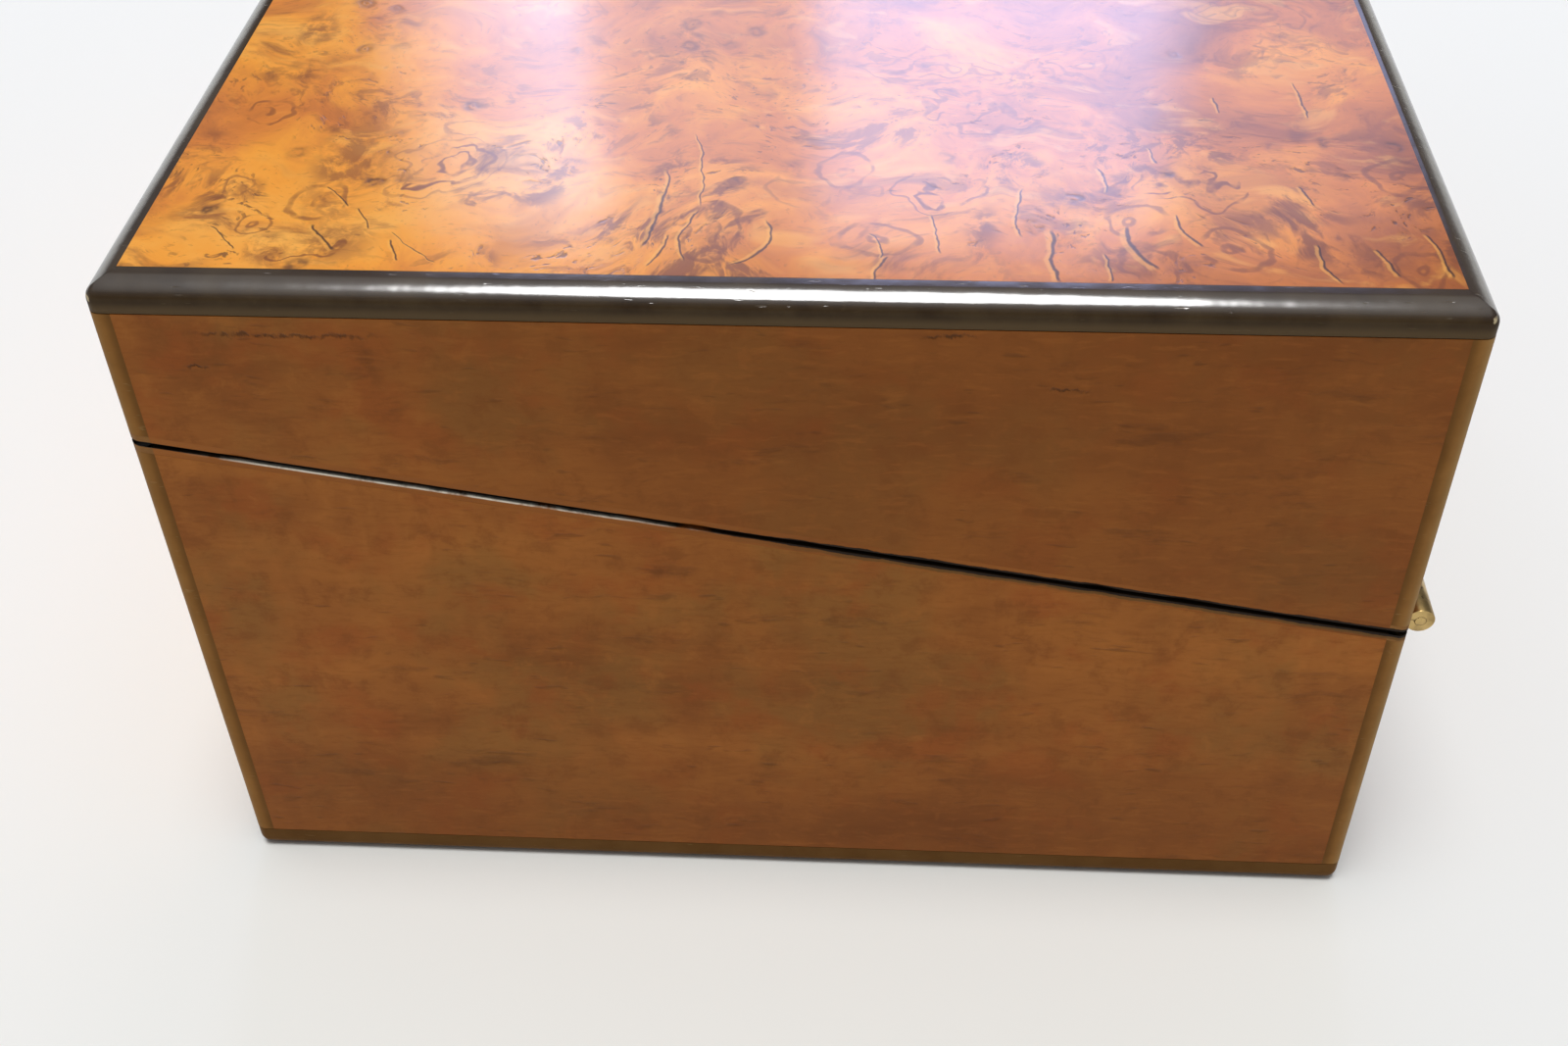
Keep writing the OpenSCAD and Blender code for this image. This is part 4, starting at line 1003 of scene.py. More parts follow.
finish["baseRim"] = rimFacingWood(rimLook, "base")
finish["lidRim"] = rimFacingWood(rimLook, "lid")
makeRimFacing(rimFacings, "base")
makeRimFacing(rimFacings, "lid")
print("rims made")


# Veneers keep their CAD shape and take their finish
veneers = {
    "burr": ("top_veneer", "base_front_veneer", "lid_front_veneer"),
    "plainShow": ("base_right_veneer", "lid_right_veneer"),
    "plainEnd": ("base_left_veneer", "lid_left_veneer"),
    "plainLong": ("base_back_veneer", "lid_back_veneer"),
}
for material, nodes in veneers.items():
    for node in nodes:
        cadNodes[node].data.materials.clear()
        cadNodes[node].data.materials.append(finish[material])

# Pieces whose CAD shape only wants its edges taken off: material, body, CAD nodes
easedPieces = (
    ("carcassX", "base", "bottom_board", "base_front_wall", "base_back_wall"),
    ("carcassY", "base", "base_left_wall", "base_right_wall"),
    ("fittingX", "base", "till_partition", "ink_cell_floors", "base_hinge_rail"),
    ("fittingY", "base", "ink_cell_dividers", "tray_cleats", "base_flap_ledges"),
    ("carcassX", "lid", "top_board", "lid_front_wall", "lid_back_wall"),
    ("carcassY", "lid", "lid_left_wall", "lid_right_wall"),
    ("fittingX", "lid", "lid_hinge_rail"), ("fittingY", "lid", "lid_flap_ledges"),
    ("fittingX", "base_flap", "base_flap_board"), ("fittingX", "lid_flap", "lid_flap_board"),
    ("iron", "base", "lock_case"), ("iron", "lock_bolt", "lock_bolt"),
    ("brass", "base", "lock_plate"), ("brass", "lid", "strike_plate"),
    ("brass", "base", "base_flap_hinge_seats"), ("brass", "lid", "lid_flap_hinge_seats"),
    ("brass", "base_flap", "base_flap_hinge_leaves"), ("brass", "lid_flap", "lid_flap_hinge_leaves"),
    ("brass", "base", "base_flap_hinge_pins"), ("brass", "lid", "lid_flap_hinge_pins"),
    ("brass", "base", "hinge_pin"),
)
woodEase, metalEase = 0.3 * mm, 0.12 * mm
slots = {"carcassX": ("carcass_wood", woodEase), "carcassY": ("carcass_wood", woodEase),
         "fittingX": ("inner_wood", woodEase), "fittingY": ("inner_wood", woodEase),
         "iron": ("lock_iron", metalEase), "brass": ("brass", metalEase)}
for material, body, *nodes in easedPieces:
    slot, width = slots[material]
    for node in nodes:
        placed(softCopy(node, width), body, slot, material, node)
print("carcass and plain fittings made")


# Geometry Nodes trees for what repeats

def startTree(name, **kinds):
    tree = bpy.data.node_groups.new(name, "GeometryNodeTree")
    for label, kind in {"Geometry": "Geometry", **kinds}.items():
        tree.interface.new_socket(label, in_out="INPUT", socket_type="NodeSocket" + kind)
    tree.interface.new_socket("Geometry", in_out="OUTPUT", socket_type="NodeSocketGeometry")
    sockets = addNode(tree, "NodeGroupInput").outputs
    return tree, *(Signal(tree, socket) for socket in sockets if socket.name)


def endTree(geometry):
    real = flow(geometry.tree, "GeometryNodeRealizeInstances", {0: geometry})
    link(real, addNode(geometry.tree, "NodeGroupOutput").inputs[0])
    return geometry.tree


def turnOf(tree, **turns):
    return flow(tree, "ShaderNodeCombineXYZ", {"xyz".index(axis): value for axis, value in turns.items()})


def repeated(points, shape, turn=None):  # the object shape on each of the points
    tree = points.tree
    copied = flow(tree, "GeometryNodeObjectInfo", {"Object": shape}, "Geometry", transform_space="ORIGINAL")
    inputs = {"Points": points, "Instance": copied}
    if turn:
        inputs["Rotation"] = turn
    return flow(tree, "GeometryNodeInstanceOnPoints", inputs)


def strung(path, spacing, shape):  # the object shape along a path
    steps = addNode(path.tree, "GeometryNodeCurveToPoints", {"Curve": path, "Length": spacing}, mode="LENGTH")
    points, turn = (Signal(path.tree, steps.outputs[key]) for key in ("Points", "Rotation"))
    return repeated(points, shape, turn)


def together(first, second):
    both = addNode(first.tree, "GeometryNodeJoinGeometry")
    link(first, both.inputs[0])
    link(second, both.inputs[0])
    return Signal(first.tree, both.outputs[0])


def grown(piece, tree, **values):  # runs a tree on a piece and keeps the result as a plain mesh
    maker = piece.modifiers.new("maker", "NODES")
    maker.node_group = tree
    for item in tree.interface.items_tree:
        if item.in_out == "INPUT" and item.name in values:
            maker[item.identifier] = values[item.name]
    return applied(piece)


# Slotted countersunk screws
screwSize = metres(head=1.9, headDeep=0.9, edge=0.06, shank=0.9, long=9.0, short=5.0, slotWide=0.5,
                   slotDeep=0.4, dome=0.08, seed=5)
hingeScrews = metres(count=12, run=341.0, u=-7.5, gap=0.1)
plateScrews = metres(x=28.0, y=-115.0)
flapHinges = metres(x=95.0, screwX=9.0, screwU=6.0, surface=2.0)
flapHinges["u"] = slopeRun(innerDepth, -flapHinges["surface"]) - 12 * mm


def makeScrew(name, size, length):
    head, shank, dome, half = size["head"], size["shank"], size["dome"], size["slotWide"] / 2
    screw = lathed(name, 24, (0, dome), (head * 0.5, dome * 0.7), (head * 0.9, dome * 0.1),
                   (head, -size["edge"]), (shank, -size["headDeep"]), (shank, -length + shank),
                   (shank * 0.25, -length), (0, -length))
    slot = block("slot", (-head * 1.2, -half, -size["slotDeep"]), (head * 1.2, half, 1 * mm))
    return smoothed(cutBy(screw, slot), 30)


def screwTree():
    tree, points, screw, flip, seed = startTree("screwsInPlace", Screw="Object", Flip="Float", Seed="Int")
    turn = flow(tree, "FunctionNodeRandomValue", {3: math.pi, "Seed": seed}, 1, data_type="FLOAT")
    return endTree(repeated(points, screw, turnOf(tree, x=flip, z=turn)))


def screwSpots(side, lid):  # of the rim, and of the flap hinges on one side of their pins
    lift, run, count = -1 if lid else 1, hingeScrews["run"], hingeScrews["count"]
    rim = [(-run / 2 + run / count * (k + 0.5), hingeScrews["u"], -hingeScrews["gap"] * lift)
           for k in range(count)]
    rim += [(s * plateScrews["x"], slopeRun(plateScrews["y"], 0), -box["seamHalf"] * lift) for s in (-1, 1)]
    u, w = flapHinges["u"] + side * flapHinges["screwU"], -flapHinges["surface"] * lift
    return rim, [(h * flapHinges["x"] + s * flapHinges["screwX"], u, w) for h in (-1, 1) for s in (-1, 1)]


def makeScrews(name, spots, screw, lid):
    points = grown(rawPiece(name, spots), screwRows, Screw=screw, Flip=math.pi if lid else 0.0,
                   Seed=screwSize["seed"] + len(name))
    return smoothed(onSlope(points), 30)


screwRows = screwTree()
longScrew = makeScrew("longScrew", screwSize, screwSize["long"])
shortScrew = makeScrew("shortScrew", screwSize, screwSize["short"])
for body in ("base", "lid"):
    lid = body == "lid"
    rimSpots, railSpots = screwSpots(1, lid)
    long = makeScrews(body + "RimScrews", rimSpots, longScrew, lid)
    short = makeScrews(body + "RailScrews", railSpots, shortScrew, lid)
    placed(smoothed(joined(body + "Screws", long, short), 30), body, "brass", "brass", body + "_screws")
    onFlap = makeScrews(body + "FlapScrews", screwSpots(-1, lid)[1], shortScrew, lid)
    placed(onFlap, body + "_flap", "brass", "brass", body + "_flap_screws")
discarded(longScrew, shortScrew)
print("screws made")


# Long brass hinge: two leaves and 27 knuckles
longHinge = metres(run=341.0, knuckles=27, radius=2.8, bore=1.15, barrelSteps=36, leafWide=11.8,
                   leafThick=1.0, leafGap=0.1, ease=0.22, play=0.05, relief=3.02, leafEase=0.12,
                   tabEase=0.08, tabPlay=0.02, tabTuck=0.2, holeClear=0.05, holeDeep=3.0)


def knuckleTree():
    tree, leaf, knuckle, first, pitch, count = startTree("knuckleRow", Knuckle="Object", First="Vector",
                                                         Pitch="Vector", Count="Int")
    line = flow(tree, "GeometryNodeMeshLine", {"Count": count, "Start Location": first, "Offset": pitch},
                mode="OFFSET")
    return endTree(together(repeated(line, knuckle), leaf))


def knuckleMesh(size, high, low):
    length = size["run"] / size["knuckles"] - 2 * size["play"]
    r, e, b, half = size["radius"], size["ease"], size["bore"], length / 2 - size["tabPlay"]
    barrel = lathed("barrel", size["barrelSteps"], (b, 0), (r - e, 0), (r - e * 0.3, e * 0.3), (r, e),
                    (r, length - e), (r - e * 0.3, length - e * 0.3), (r - e, length), (b, length),
                    closed=True)
    barrel.data.transform(Matrix.Translation((-length / 2, 0, 0)) @ Matrix.Rotation(math.pi / 2, 4, "Y"))
    tab = block("tab", (-half, -size["relief"] - size["tabTuck"], low), (half, -r * 0.55, high))
    return joined("knuckle", barrel, rounded(tab, size["tabEase"], 1))


def screwCone(spot, clear, deep):
    head, shank = screwSize["head"] + clear, screwSize["shank"] + clear
    cone = lathed("cone", 28, (0, 1 * mm), (head, 1 * mm), (head, 0), (shank, -screwSize["headDeep"]),
                  (shank, -deep), (0, -deep))
    return moved(cone, *spot)


def makeHingeLeaf(name, size, lid, body, node):
    run, high = size["run"], -size["leafGap"]
    low = high - size["leafThick"]
    leaf = rounded(block(name, (-run / 2, -size["leafWide"], low), (run / 2, -size["relief"], high)),
                   size["leafEase"])
    spots = [(x, u, high) for x, u, w in screwSpots(1, False)[0][:hingeScrews["count"]]]
    cutBy(leaf, joined("cones", *(screwCone(spot, size["holeClear"], size["holeDeep"]) for spot in spots)))
    knuckle = knuckleMesh(size, high, low)
    if lid:
        mirrored(leaf)
        mirrored(knuckle)
    pitch = run / size["knuckles"]
    grown(leaf, knuckleRows, Knuckle=knuckle, First=(pitch * (1.5 if lid else 0.5) - run / 2, 0, 0),
          Pitch=(2 * pitch, 0, 0), Count=size["knuckles"] // 2 + (0 if lid else 1))
    discarded(knuckle)
    placed(smoothed(onSlope(leaf), 32), body, "brass", "brass", node)


knuckleRows = knuckleTree()
makeHingeLeaf("longHingeBaseHalf", longHinge, False, "base", "hinge_base_leaf")
makeHingeLeaf("longHingeLidHalf", longHinge, True, "lid", "hinge_lid_leaf")
print("long hinge made")


# Brass keyhole surround on the front. Section: share of the rim, depth in millimetres
escutcheon = metres(hole=2.4, leg=1.1, legLong=7.0, rim=2.4, drop=22.0, lockWide=6.5, round=0.25,
                    arcSteps=28, cornerSteps=4,
                    section=((0.0, 1.0), (0.0, 0.32), (0.10, 0.12), (0.28, 0.02), (0.5, 0.0), (0.74, 0.03),
                             (0.92, 0.15), (1.0, 0.36), (1.0, 1.0)))


def keyholeLoop(size, grow):
    radius, half, low = size["hole"] + grow, size["leg"] + grow, -size["legLong"] - grow
    start = -math.acos(min(1, half / radius)) if half < radius else 0.0
    steps = size["arcSteps"]
    loop = [(radius * math.cos(a), radius * math.sin(a))
            for a in (start + (math.pi - 2 * start) * k / steps for k in range(steps + 1))]
    turn = size["round"] + grow * 0.55
    for cx, begin in ((-half + turn, math.pi), (half - turn, 1.5 * math.pi)):
        for k in range(size["cornerSteps"] + 1):
            a = begin + math.pi / 2 * k / size["cornerSteps"]
            loop.append((cx + turn * math.cos(a), low + turn + turn * math.sin(a)))
    return loop


def makeEscutcheon(size):
    height = splitHeight(-innerDepth - size["lockWide"] / 2) - size["drop"]
    points = []
    for share, deep in size["section"]:
        points += [(x, deep * mm - halfDepth, height + z) for x, z in keyholeLoop(size, share * size["rim"])]
    rows = len(size["section"])
    surround = fromFaces("keyholeSurround", points, woven(0, rows, len(points) // rows, True))
    placed(smoothed(surround, 50), "base", "brass", "brass", "keyhole_escutcheon")


makeEscutcheon(escutcheon)


# Writing surfaces: leather let into each flap, with gilt lines and small stamped lozenges
flapSize = metres(halfRun=165.5, inset=14.2, leatherThick=0.8, surface=2.0, crown=0.12, crownReach=6.0,
                  cell=3.0, rimRound=0.7, rimDrop=0.28, lineInsets=(5.0, 6.1, 13.0), stampInset=9.2,
                  stampSpacing=4.6, stampSize=1.5, lineWide=0.45, lineSink=0.02)
flapSize["baseFree"] = slopeRun(-66 * mm, -9 * mm) + 0.5 * mm
flapSize["lidFree"] = slopeRun(-111 * mm, flapSize["surface"]) + 0.5 * mm


def leatherField(size, free):
    return (-size["halfRun"] + size["inset"], size["halfRun"] - size["inset"],
            free + size["inset"], flapHinges["u"] - size["inset"])


def gridPlaces(start, end, cell, rim):  # places across the leather, closer at both rims
    count, edge = int((end - start) / cell), (0.0, 0.25 * mm, rim)
    middle = [start + (end - start) * k / count for k in range(1, count)]
    return [start + e for e in edge] + middle + [end - e for e in reversed(edge)]


def makeLeather(name, size, free, lift, body, node):
    x0, x1, u0, u1 = leatherField(size, free)
    placesX, placesU = (gridPlaces(*ends, size["cell"], size["rimRound"]) for ends in ((x0, x1), (u0, u1)))

    def spot(i, j, level):
        x, u = placesX[i], placesU[j]
        w = -size["surface"] - size["leatherThick"]
        if level:
            rim = min(x - x0, x1 - x, u - u0, u1 - u)
            soft = math.sqrt(max(0.0, 1 - (1 - min(rim / size["rimRound"], 1)) ** 2))
            swell = size["crown"] * (0.5 + 0.5 * noise.noise(Vector((x * 30, u * 30, 2.0))))
            w = swell * min(rim / size["crownReach"], 1) - size["rimDrop"] * (1 - soft) - size["surface"]
        return x, u, w * lift

    skin = onSlope(slab(name, len(placesX), len(placesU), spot))
    placed(smoothed(skin, 50), body, "leather", "leather", node)


def toolingTree():
    tree, outline, wide, spacing, stamp = startTree("tooledBorder", Wide="Float", Spacing="Float",
                                                    Stamp="Object")
    path = flow(tree, "GeometryNodeMeshToCurve", {0: outline})
    half = wide * 0.5
    flat = flow(tree, "GeometryNodeCurvePrimitiveLine", {"Start": turnOf(tree, x=half * -1.0),
                                                         "End": turnOf(tree, x=half)})
    line = flow(tree, "GeometryNodeCurveToMesh", {"Curve": path, "Profile Curve": flat})
    return endTree(together(line, strung(path, spacing, stamp)))


def stampMesh(reach):  # a lozenge with four short rays, lying along the path
    points = [(0, 0, 0)]
    for k in range(16):
        a, r = 2 * math.pi * k / 16, reach * (1.0, 0.26, 0.42, 0.26)[k % 4]
        points.append((0, r * math.cos(a), r * math.sin(a)))
    return rawPiece("lozenge", points, (), [(0, 1 + k, 1 + (k + 1) % 16) for k in range(16)])


def makeTooling(name, size, free, lift, body):
    x0, x1, u0, u1 = leatherField(size, free)
    w = -lift * (size["surface"] - size["crown"] - size["lineSink"])
    stamp, blank = stampMesh(size["stampSize"]), newPiece("blankStamp", bpy.data.meshes.new("blankStamp"))
    first, second, last = (inset * mm for inset in size["lineInsets"])
    parts = []
    for inset, mark in ((first, blank), (second, blank), (size["stampInset"], stamp), (last, blank)):
        near, far = (x0 + inset, u0 + inset), (x1 - inset, u1 - inset)
        corners = [(*near, w), (far[0], near[1], w), (*far, w), (near[0], far[1], w)]
        path = rawPiece("path", corners, [(0, 1), (1, 2), (2, 3), (3, 0)])
        wide = size["lineWide"] * (0.25 if mark is stamp else 1.0)
        parts.append(grown(path, tooledBorder, Wide=wide, Spacing=size["stampSpacing"], Stamp=mark))
    lines = onSlope(joined(name, *parts))
    discarded(stamp, blank)
    placed(lines, body, "leather", "gilt")


tooledBorder = toolingTree()
for label, lift in (("base", 1), ("lid", -1)):
    free, body = flapSize[label + "Free"], label + "_flap"
    makeLeather(label + "FlapLeather", flapSize, free, lift, body, body + "_leather")
    makeTooling(label + "FlapTooling", flapSize, free, lift, body)


# Pull tab of the lid's flap, a folded tongue of leather sewn down. Section: inset in millimetres, share of
# the thickness
pullTab = metres(wide=14.0, long=11.0, thick=0.8, start=1.5, round=3.4, stitch=1.5, stitchInset=1.5,
                 section=((0.0, 0.0), (0.0, 0.5), (0.25, 0.85), (0.7, 1.0), (2.2, 0.80), (3.4, 0.88)))
stitchProfile = ((0, -0.55), (0.12, -0.42), (0.17, 0), (0.12, 0.42), (0, 0.55))


def stitchTree():
    tree, outline, stitch, spacing = startTree("stitchRow", Stitch="Object", Spacing="Float")
    return endTree(strung(flow(tree, "GeometryNodeMeshToCurve", {0: outline}), spacing, stitch))


def tabOutline(size, inset, height):
    half, turn, long = size["wide"] / 2, size["round"], size["long"]
    outline = [(-half, 0), (half, 0)]
    for cx, begin in ((half - turn, 0.0), (-half + turn, math.pi / 2)):
        for a in (begin + math.pi / 2 * k / 6 for k in range(7)):
            outline.append((cx + turn * math.cos(a), long - turn + turn * math.sin(a)))
    points, centre = [], Vector((0, long / 2))
    start = flapSize["lidFree"] + size["start"]
    for spot in map(Vector, outline):
        spot += (centre - spot).normalized() * inset
        points.append((spot.x, start + spot.y, flapSize["surface"] - size["thick"] * height))
    return points


def makeTab(size):
    rings = [tabOutline(size, inset * mm, height) for inset, height in size["section"]]
    points = [point for ring in rings for point in ring]
    tongue = onSlope(fromFaces("pullTab", points, bar(0, len(rings), len(rings[0]))))
    placed(smoothed(tongue, 60), "lid_flap", "leather", "leather", "lid_flap_tab")
    path = tabOutline(size, size["stitchInset"], 0.98)
    stitches = rawPiece("tabStitches", path, [(k, (k + 1) % len(path)) for k in range(len(path))])
    stitch = lathed("stitch", 8, *((r * mm, z * mm) for r, z in stitchProfile))
    onSlope(grown(stitches, stitchTree(), Stitch=stitch, Spacing=size["stitch"]))
    discarded(stitch)
    placed(smoothed(stitches, 60), "lid_flap", "leather", "thread")


makeTab(pullTab)
print("writing surfaces made")


# Pen tray with its hollowed trough and nib well
penTray = metres(halfRun=123.6, halfDeep=22.1, height=16.0, troughRadius=22.0, troughDeep=10.0,
                 troughSteps=96, well=34.0, wellDeep=9.0, wellRound=3.8, rim=5.0, ease=0.6)
penTray["top"] = splitHeight(-66 * mm) - 6 * mm
tillY = -innerDepth + 22.5 * mm


def makePenTray(size):
    top, run, rim, radius = size["top"], size["halfRun"], size["rim"], size["troughRadius"]
    tray = block("penTray", (-run, tillY - size["halfDeep"], top - size["height"]),
                 (run, tillY + size["halfDeep"], top))
    chord = math.sqrt(radius ** 2 - (radius - size["troughDeep"]) ** 2)
    straight = 2 * run - size["well"] - 3 * rim - 2 * chord
    end = [(radius * math.sin(a), -radius * math.cos(a)) for a in (math.pi / 2 * k / 24 for k in range(25))]
    trough = lathed("trough", size["troughSteps"], *end, *((r, straight - z) for r, z in reversed(end)))
    trough.data.transform(Matrix.Rotation(math.pi / 2, 4, "Y"))
    cutBy(tray, moved(trough, -run + rim + chord, tillY, top + radius - size["troughDeep"]))
    half = size["well"] / 2
    centre = run - rim - half
    well = block("well", (centre - half, tillY - half, top - size["wellDeep"]),
                 (centre + half, tillY + half, top + 3 * mm))
    cutBy(tray, rounded(well, size["wellRound"], 8))
    placed(smoothed(rounded(tray, size["ease"], 3, 38), 40), "base", "inner_wood", "fittingX", "pen_tray")


makePenTray(penTray)


# Square glass ink bottles with dried ink and screw caps
bottle = metres(wide=32.0, high=34.0, neck=9.0, neckHigh=5.0, wall=3.5, floor=5.5, bore=6.5, round=2.4,
                x=147.0, inkLevel=15.0, steps=48)
bottle["base"] = penTray["top"] - 44.4 * mm
capSize = metres(radius=12.0, high=9.0, inside=9.35, ribs=44, rib=0.32, ribWide=0.42, ribFoot=0.45, skirt=5.4)


def inPairs(name, make, material, degrees, *nodes):  # one at each end of the till
    pieces = [moved(make(), side * bottle["x"], tillY, bottle["base"]) for side in (-1, 1)]
    placed(smoothed(joined(name, *pieces), degrees), "base", *material, *nodes)


def bottleGlass():
    half, high, neck, wall, steps = (bottle[key] for key in ("wide", "high", "neck", "wall", "steps"))
    half /= 2
    inner, floor, bore, lip = half - wall, bottle["floor"], bottle["bore"], high + bottle["neckHigh"]
    body = rounded(block("bottle", (-half, -half, 0), (half, half, high)), bottle["round"], 5)
    shoulder = high - wall
    cutBy(body, lathed("neck", steps, (0, high - 4 * mm), (neck + 1.0 * mm, high - 4 * mm),
                       (neck + 0.2 * mm, high - 0.2 * mm), (neck, high + 0.5 * mm), (neck, lip - 0.5 * mm),
                       (neck - 0.5 * mm, lip), (0, lip)), "UNION")
    return cutBy(body, lathed("hollow", steps, (0, floor), (inner - 2 * mm, floor),
                              (inner - 0.6 * mm, floor + 0.6 * mm), (inner, floor + 2 * mm),
                              (inner, shoulder - 4 * mm), (inner - 1.5 * mm, shoulder - 1.2 * mm),
                              (bore + 1 * mm, shoulder), (bore, shoulder + 1 * mm), (bore, lip + 1 * mm),
                              (0, lip + 1 * mm)))


def inkPool():
    inner, floor, level = bottle["wide"] / 2 - bottle["wall"], bottle["floor"], bottle["inkLevel"]
    return lathed("pool", bottle["steps"], (0, floor + 0.05 * mm), (inner - 2 * mm, floor + 0.05 * mm),
                  (inner - 0.7 * mm, floor + 0.7 * mm), (inner - 0.06 * mm, floor + 2.1 * mm),
                  (inner - 0.06 * mm, level + 0.9 * mm), (inner - 0.5 * mm, level + 0.35 * mm),
                  (inner - 1.6 * mm, level), (0, level - 0.2 * mm))


def ribTree():
    tree, cap, rib, ribs, radius, height = startTree("capRibs", Rib="Object", Ribs="Int", Radius="Float",
                                                     Height="Float")
    ring = flow(tree, "GeometryNodeMeshCircle", {"Vertices": ribs, "Radius": radius})
    turn = flow(tree, "GeometryNodeInputIndex") * (2 * math.pi / ribs)
    row = repeated(ring, rib, turnOf(tree, z=turn))
    raisedRow = flow(tree, "GeometryNodeTransform", {"Geometry": row, "Translation": turnOf(tree, z=height)})
    return endTree(together(raisedRow, cap))


def screwCap():
    size, core = capSize, capSize["radius"] - capSize["rib"] * 0.6
    high, skirt, rib, wide = size["high"], size["skirt"], size["rib"], size["ribWide"]
    cap = lathed("cap", 64, (size["inside"], 0), (core - 0.3 * mm, 0), (core, 0.3 * mm), (core, skirt),
                 (core - 0.25 * mm, 5.9 * mm), (core - 0.9 * mm, 6.1 * mm), (core - 1.0 * mm, 6.5 * mm),
                 (core - 1.6 * mm, 7.1 * mm), (core - 3.2 * mm, 8.0 * mm), (4.4 * mm, 8.45 * mm),
                 (3.2 * mm, 8.5 * mm), (3.0 * mm, 8.9 * mm), (1.6 * mm, high), (0, high), (0, 5.5 * mm),
                 (size["inside"], skirt))
    tooth = rounded(block("tooth", (-rib, -wide, 0), (rib * 0.6, wide, skirt - 0.9 * mm)), 0.2 * mm)
    grown(cap, capRibs, Rib=tooth, Ribs=size["ribs"], Radius=core, Height=size["ribFoot"])
    discarded(tooth)
    return moved(cap, 0, 0, bottle["high"])


capRibs = ribTree()
inPairs("inkBottles", bottleGlass, ("glass", "glass"), 40, "ink_bottles")
inPairs("inkInBottles", inkPool, ("glass", "ink"), 50)
inPairs("inkCaps", screwCap, ("brass", "brass"), 35, "ink_caps")
print("pen tray and ink bottles made")


# Baize under the bottom, with a soft cut edge
baize = metres(halfRun=169.0, halfDeep=114.0, thick=0.8, cell=4.0, nap=0.12, rimLift=0.2)
baize["fray"] = 0.0012


def makeBaize(size):
    halfRun, halfDeep = size["halfRun"], size["halfDeep"]
    countX, countY = int(2 * halfRun / size["cell"]), int(2 * halfDeep / size["cell"])

    def spot(i, j, level):
        x, y = halfRun * (2 * i / countX - 1), halfDeep * (2 * j / countY - 1)
        lift = size["nap"] * (0.5 + 0.5 * noise.noise(Vector((x * 260, y * 260, 4.0))))
        if i in (0, countX) or j in (0, countY):
            lift += size["rimLift"]
            x *= 1 - size["fray"] * (1 + noise.noise(Vector((x * 90, y * 90, 1.0))))
            y *= 1 - size["fray"] * (1 + noise.noise(Vector((x * 90, y * 90, 9.0))))
        return x, y, size["thick"] if level else lift

    cloth = slab("bottomBaize", countX + 1, countY + 1, spot)
    placed(smoothed(cloth, 60), "base", "baize", "felt", "bottom_baize")


makeBaize(baize)
print("baize made")


# Pale floor, a broad overhead light and a soft window panel behind the box
studio = {
    "floor": (0.880, 0.884, 0.846), "floorHalf": 60.0,
    "haze": (0.92, 0.92, 0.91), "room": (0.155, 0.160, 0.175), "ceiling": (0.46, 0.465, 0.48),
    "sunStrength": 2.10, "sunAngle": 25.0, "sunFrom": (0.105, -0.030, 1.0),
}
windowPane = {
    "x": -1.7, "y": (-0.85, 0.85), "z": (0.5, 1.5), "strength": 6.6,
    "lockTint": (0.64, 0.68, 0.98), "hingeTint": (0.56, 0.62, 1.0), "tintSplit": (-0.25, 0.10),
    "topFade": (1.44, 1.26), "lift": (0.75, 1.20), "streakTop": (1.055, 1.035), "streakFoot": (0.96, 0.985),
    # brightness across the panel, by its depth Y
    "stops": ((-0.66, 0.0), (-0.54, 0.50), (-0.40, 1.0), (-0.34, 0.36), (-0.10, 0.27), (-0.05, 0.82),
              (0.34, 0.84), (0.42, 0.30), (0.66, 0.22), (0.82, 0.0)),
}


def flatSheet(name, facing, corners, material):
    sheet = fromFaces(name, corners, [(0, 1, 2, 3)])
    if sheet.data.polygons[0].normal.dot(Vector(facing)) < 0:
        sheet.data.flip_normals()
    sheet.data.materials.append(material)
    return sheet


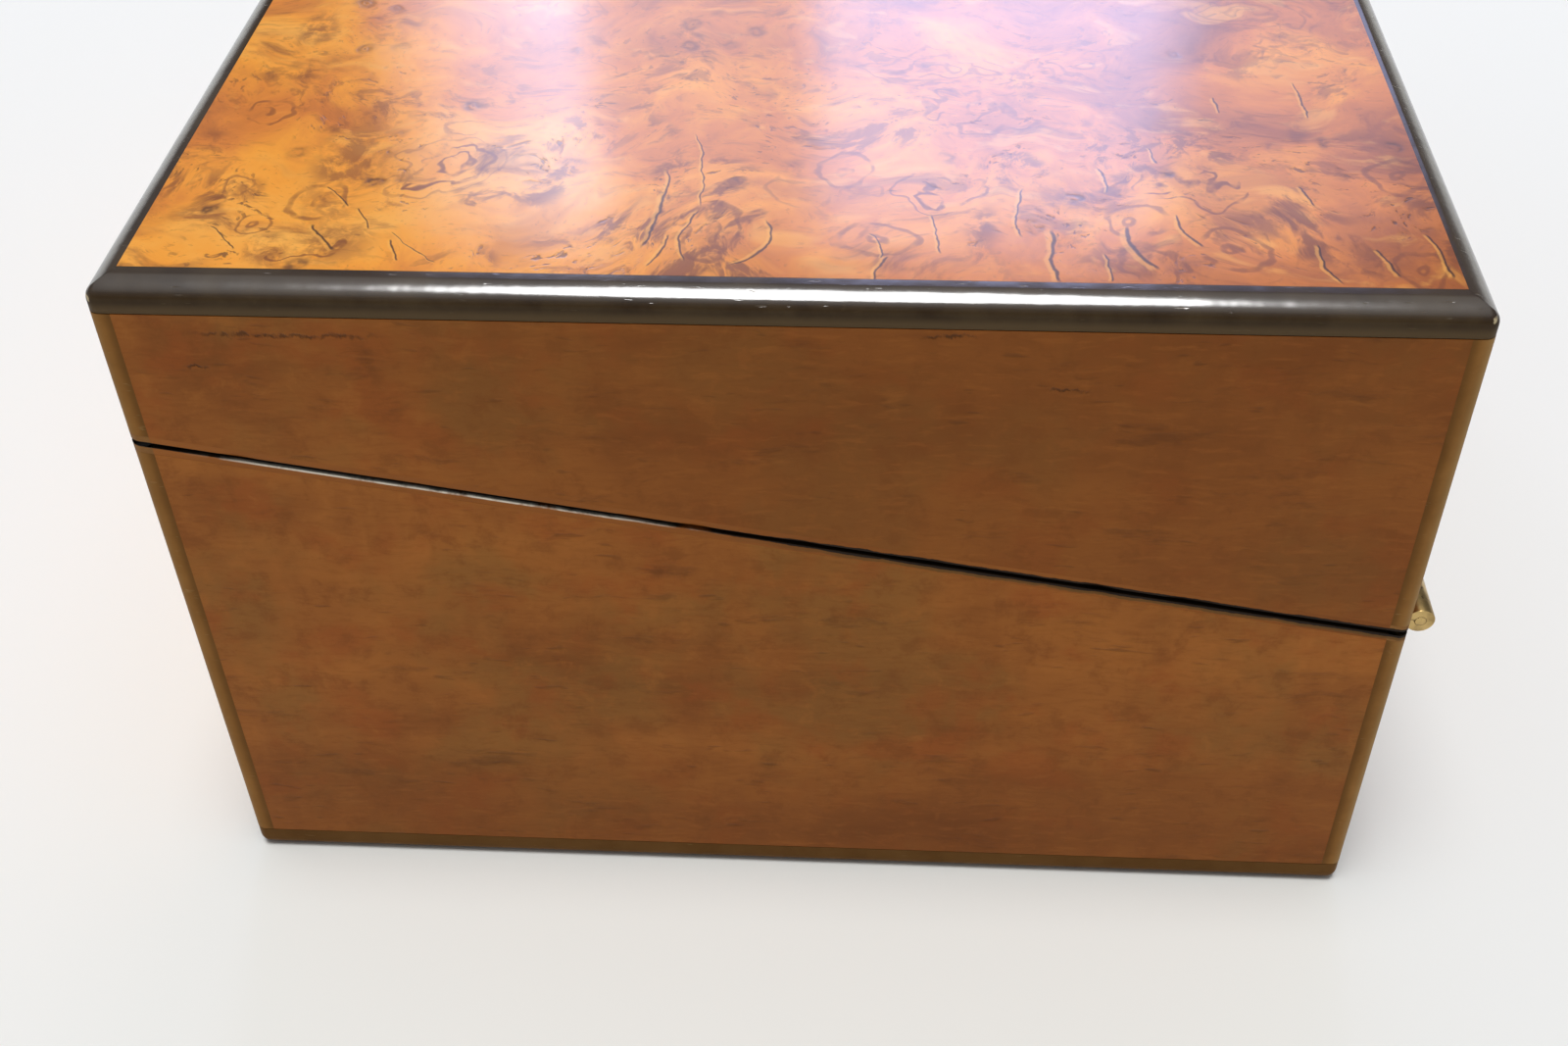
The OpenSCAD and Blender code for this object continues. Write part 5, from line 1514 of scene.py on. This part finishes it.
def makeFloor(look):
    half = look["floorHalf"]
    material, shader, place = startMaterial("paleFloor")
    shade = tuple(v * 0.985 for v in look["floor"])
    setShader(shader, {"Base Color": shades(cloud(place, 3, 3), (0.3, shade), (0.7, look["floor"]))},
              {"Roughness": 0.9, "Specular IOR Level": 0.1})
    corners = [(-half, -half, 0), (half, -half, 0), (half, half, 0), (-half, half, 0)]
    flatSheet("floor", (0, 0, 1), corners, material)


def makeWorld(look):
    world = bpy.data.worlds.new("paleRoom")
    world.use_nodes = True
    tree = world.node_tree
    tree.nodes.clear()
    up = split(flow(tree, "ShaderNodeTexCoord", output="Generated"))[2]
    sky = shades(up, (0.02, look["haze"]), (0.13, look["room"]), (0.62, look["room"]),
                 (0.90, look["ceiling"]))
    light = flow(tree, "ShaderNodeBackground", {"Color": sky, "Strength": 1.0})
    link(light, addNode(tree, "ShaderNodeOutputWorld").inputs[0])
    scene.world = world


def makeSun(look):
    sun = bpy.data.objects.new("overheadLight", bpy.data.lights.new("overheadLight", "SUN"))
    sun.data.energy = look["sunStrength"]
    sun.data.angle = math.radians(look["sunAngle"])
    sun.matrix_world = Vector(look["sunFrom"]).to_track_quat("Z", "Y").to_matrix().to_4x4()
    scene.collection.objects.link(sun)


def makeWindow(look):
    (y0, y1), (z0, z1), x = look["y"], look["z"], look["x"]
    material, shader, place = startMaterial("windowGlow", "Emission")
    across, y, z = split(place)
    across = (y - y0) / (y1 - y0)
    stops = [((at - y0) / (y1 - y0), (v, v, v)) for at, v in look["stops"]]
    glow = shades(across, *stops) * fade(z, *look["topFade"])
    streak = fade(z, *look["streakTop"]) * fade(z, *look["streakFoot"])
    glow = glow * (streak * 0.5 + 1.0) * (fade(z, *look["lift"]) * 0.70 + 0.62)
    tint = layered(fade(y, *look["tintSplit"]), look["lockTint"], look["hingeTint"])
    setShader(shader, {"Color": tint, "Strength": glow * look["strength"]}, {})
    corners = [(x, y0, z0), (x, y1, z0), (x, y1, z1), (x, y0, z1)]
    panel = flatSheet("windowPanel", (1, 0, 0), corners, material)
    panel.visible_camera = False


makeFloor(studio)
makeWorld(studio)
makeSun(studio)
makeWindow(windowPane)
scene.view_settings.view_transform = "Standard"
print("studio made")
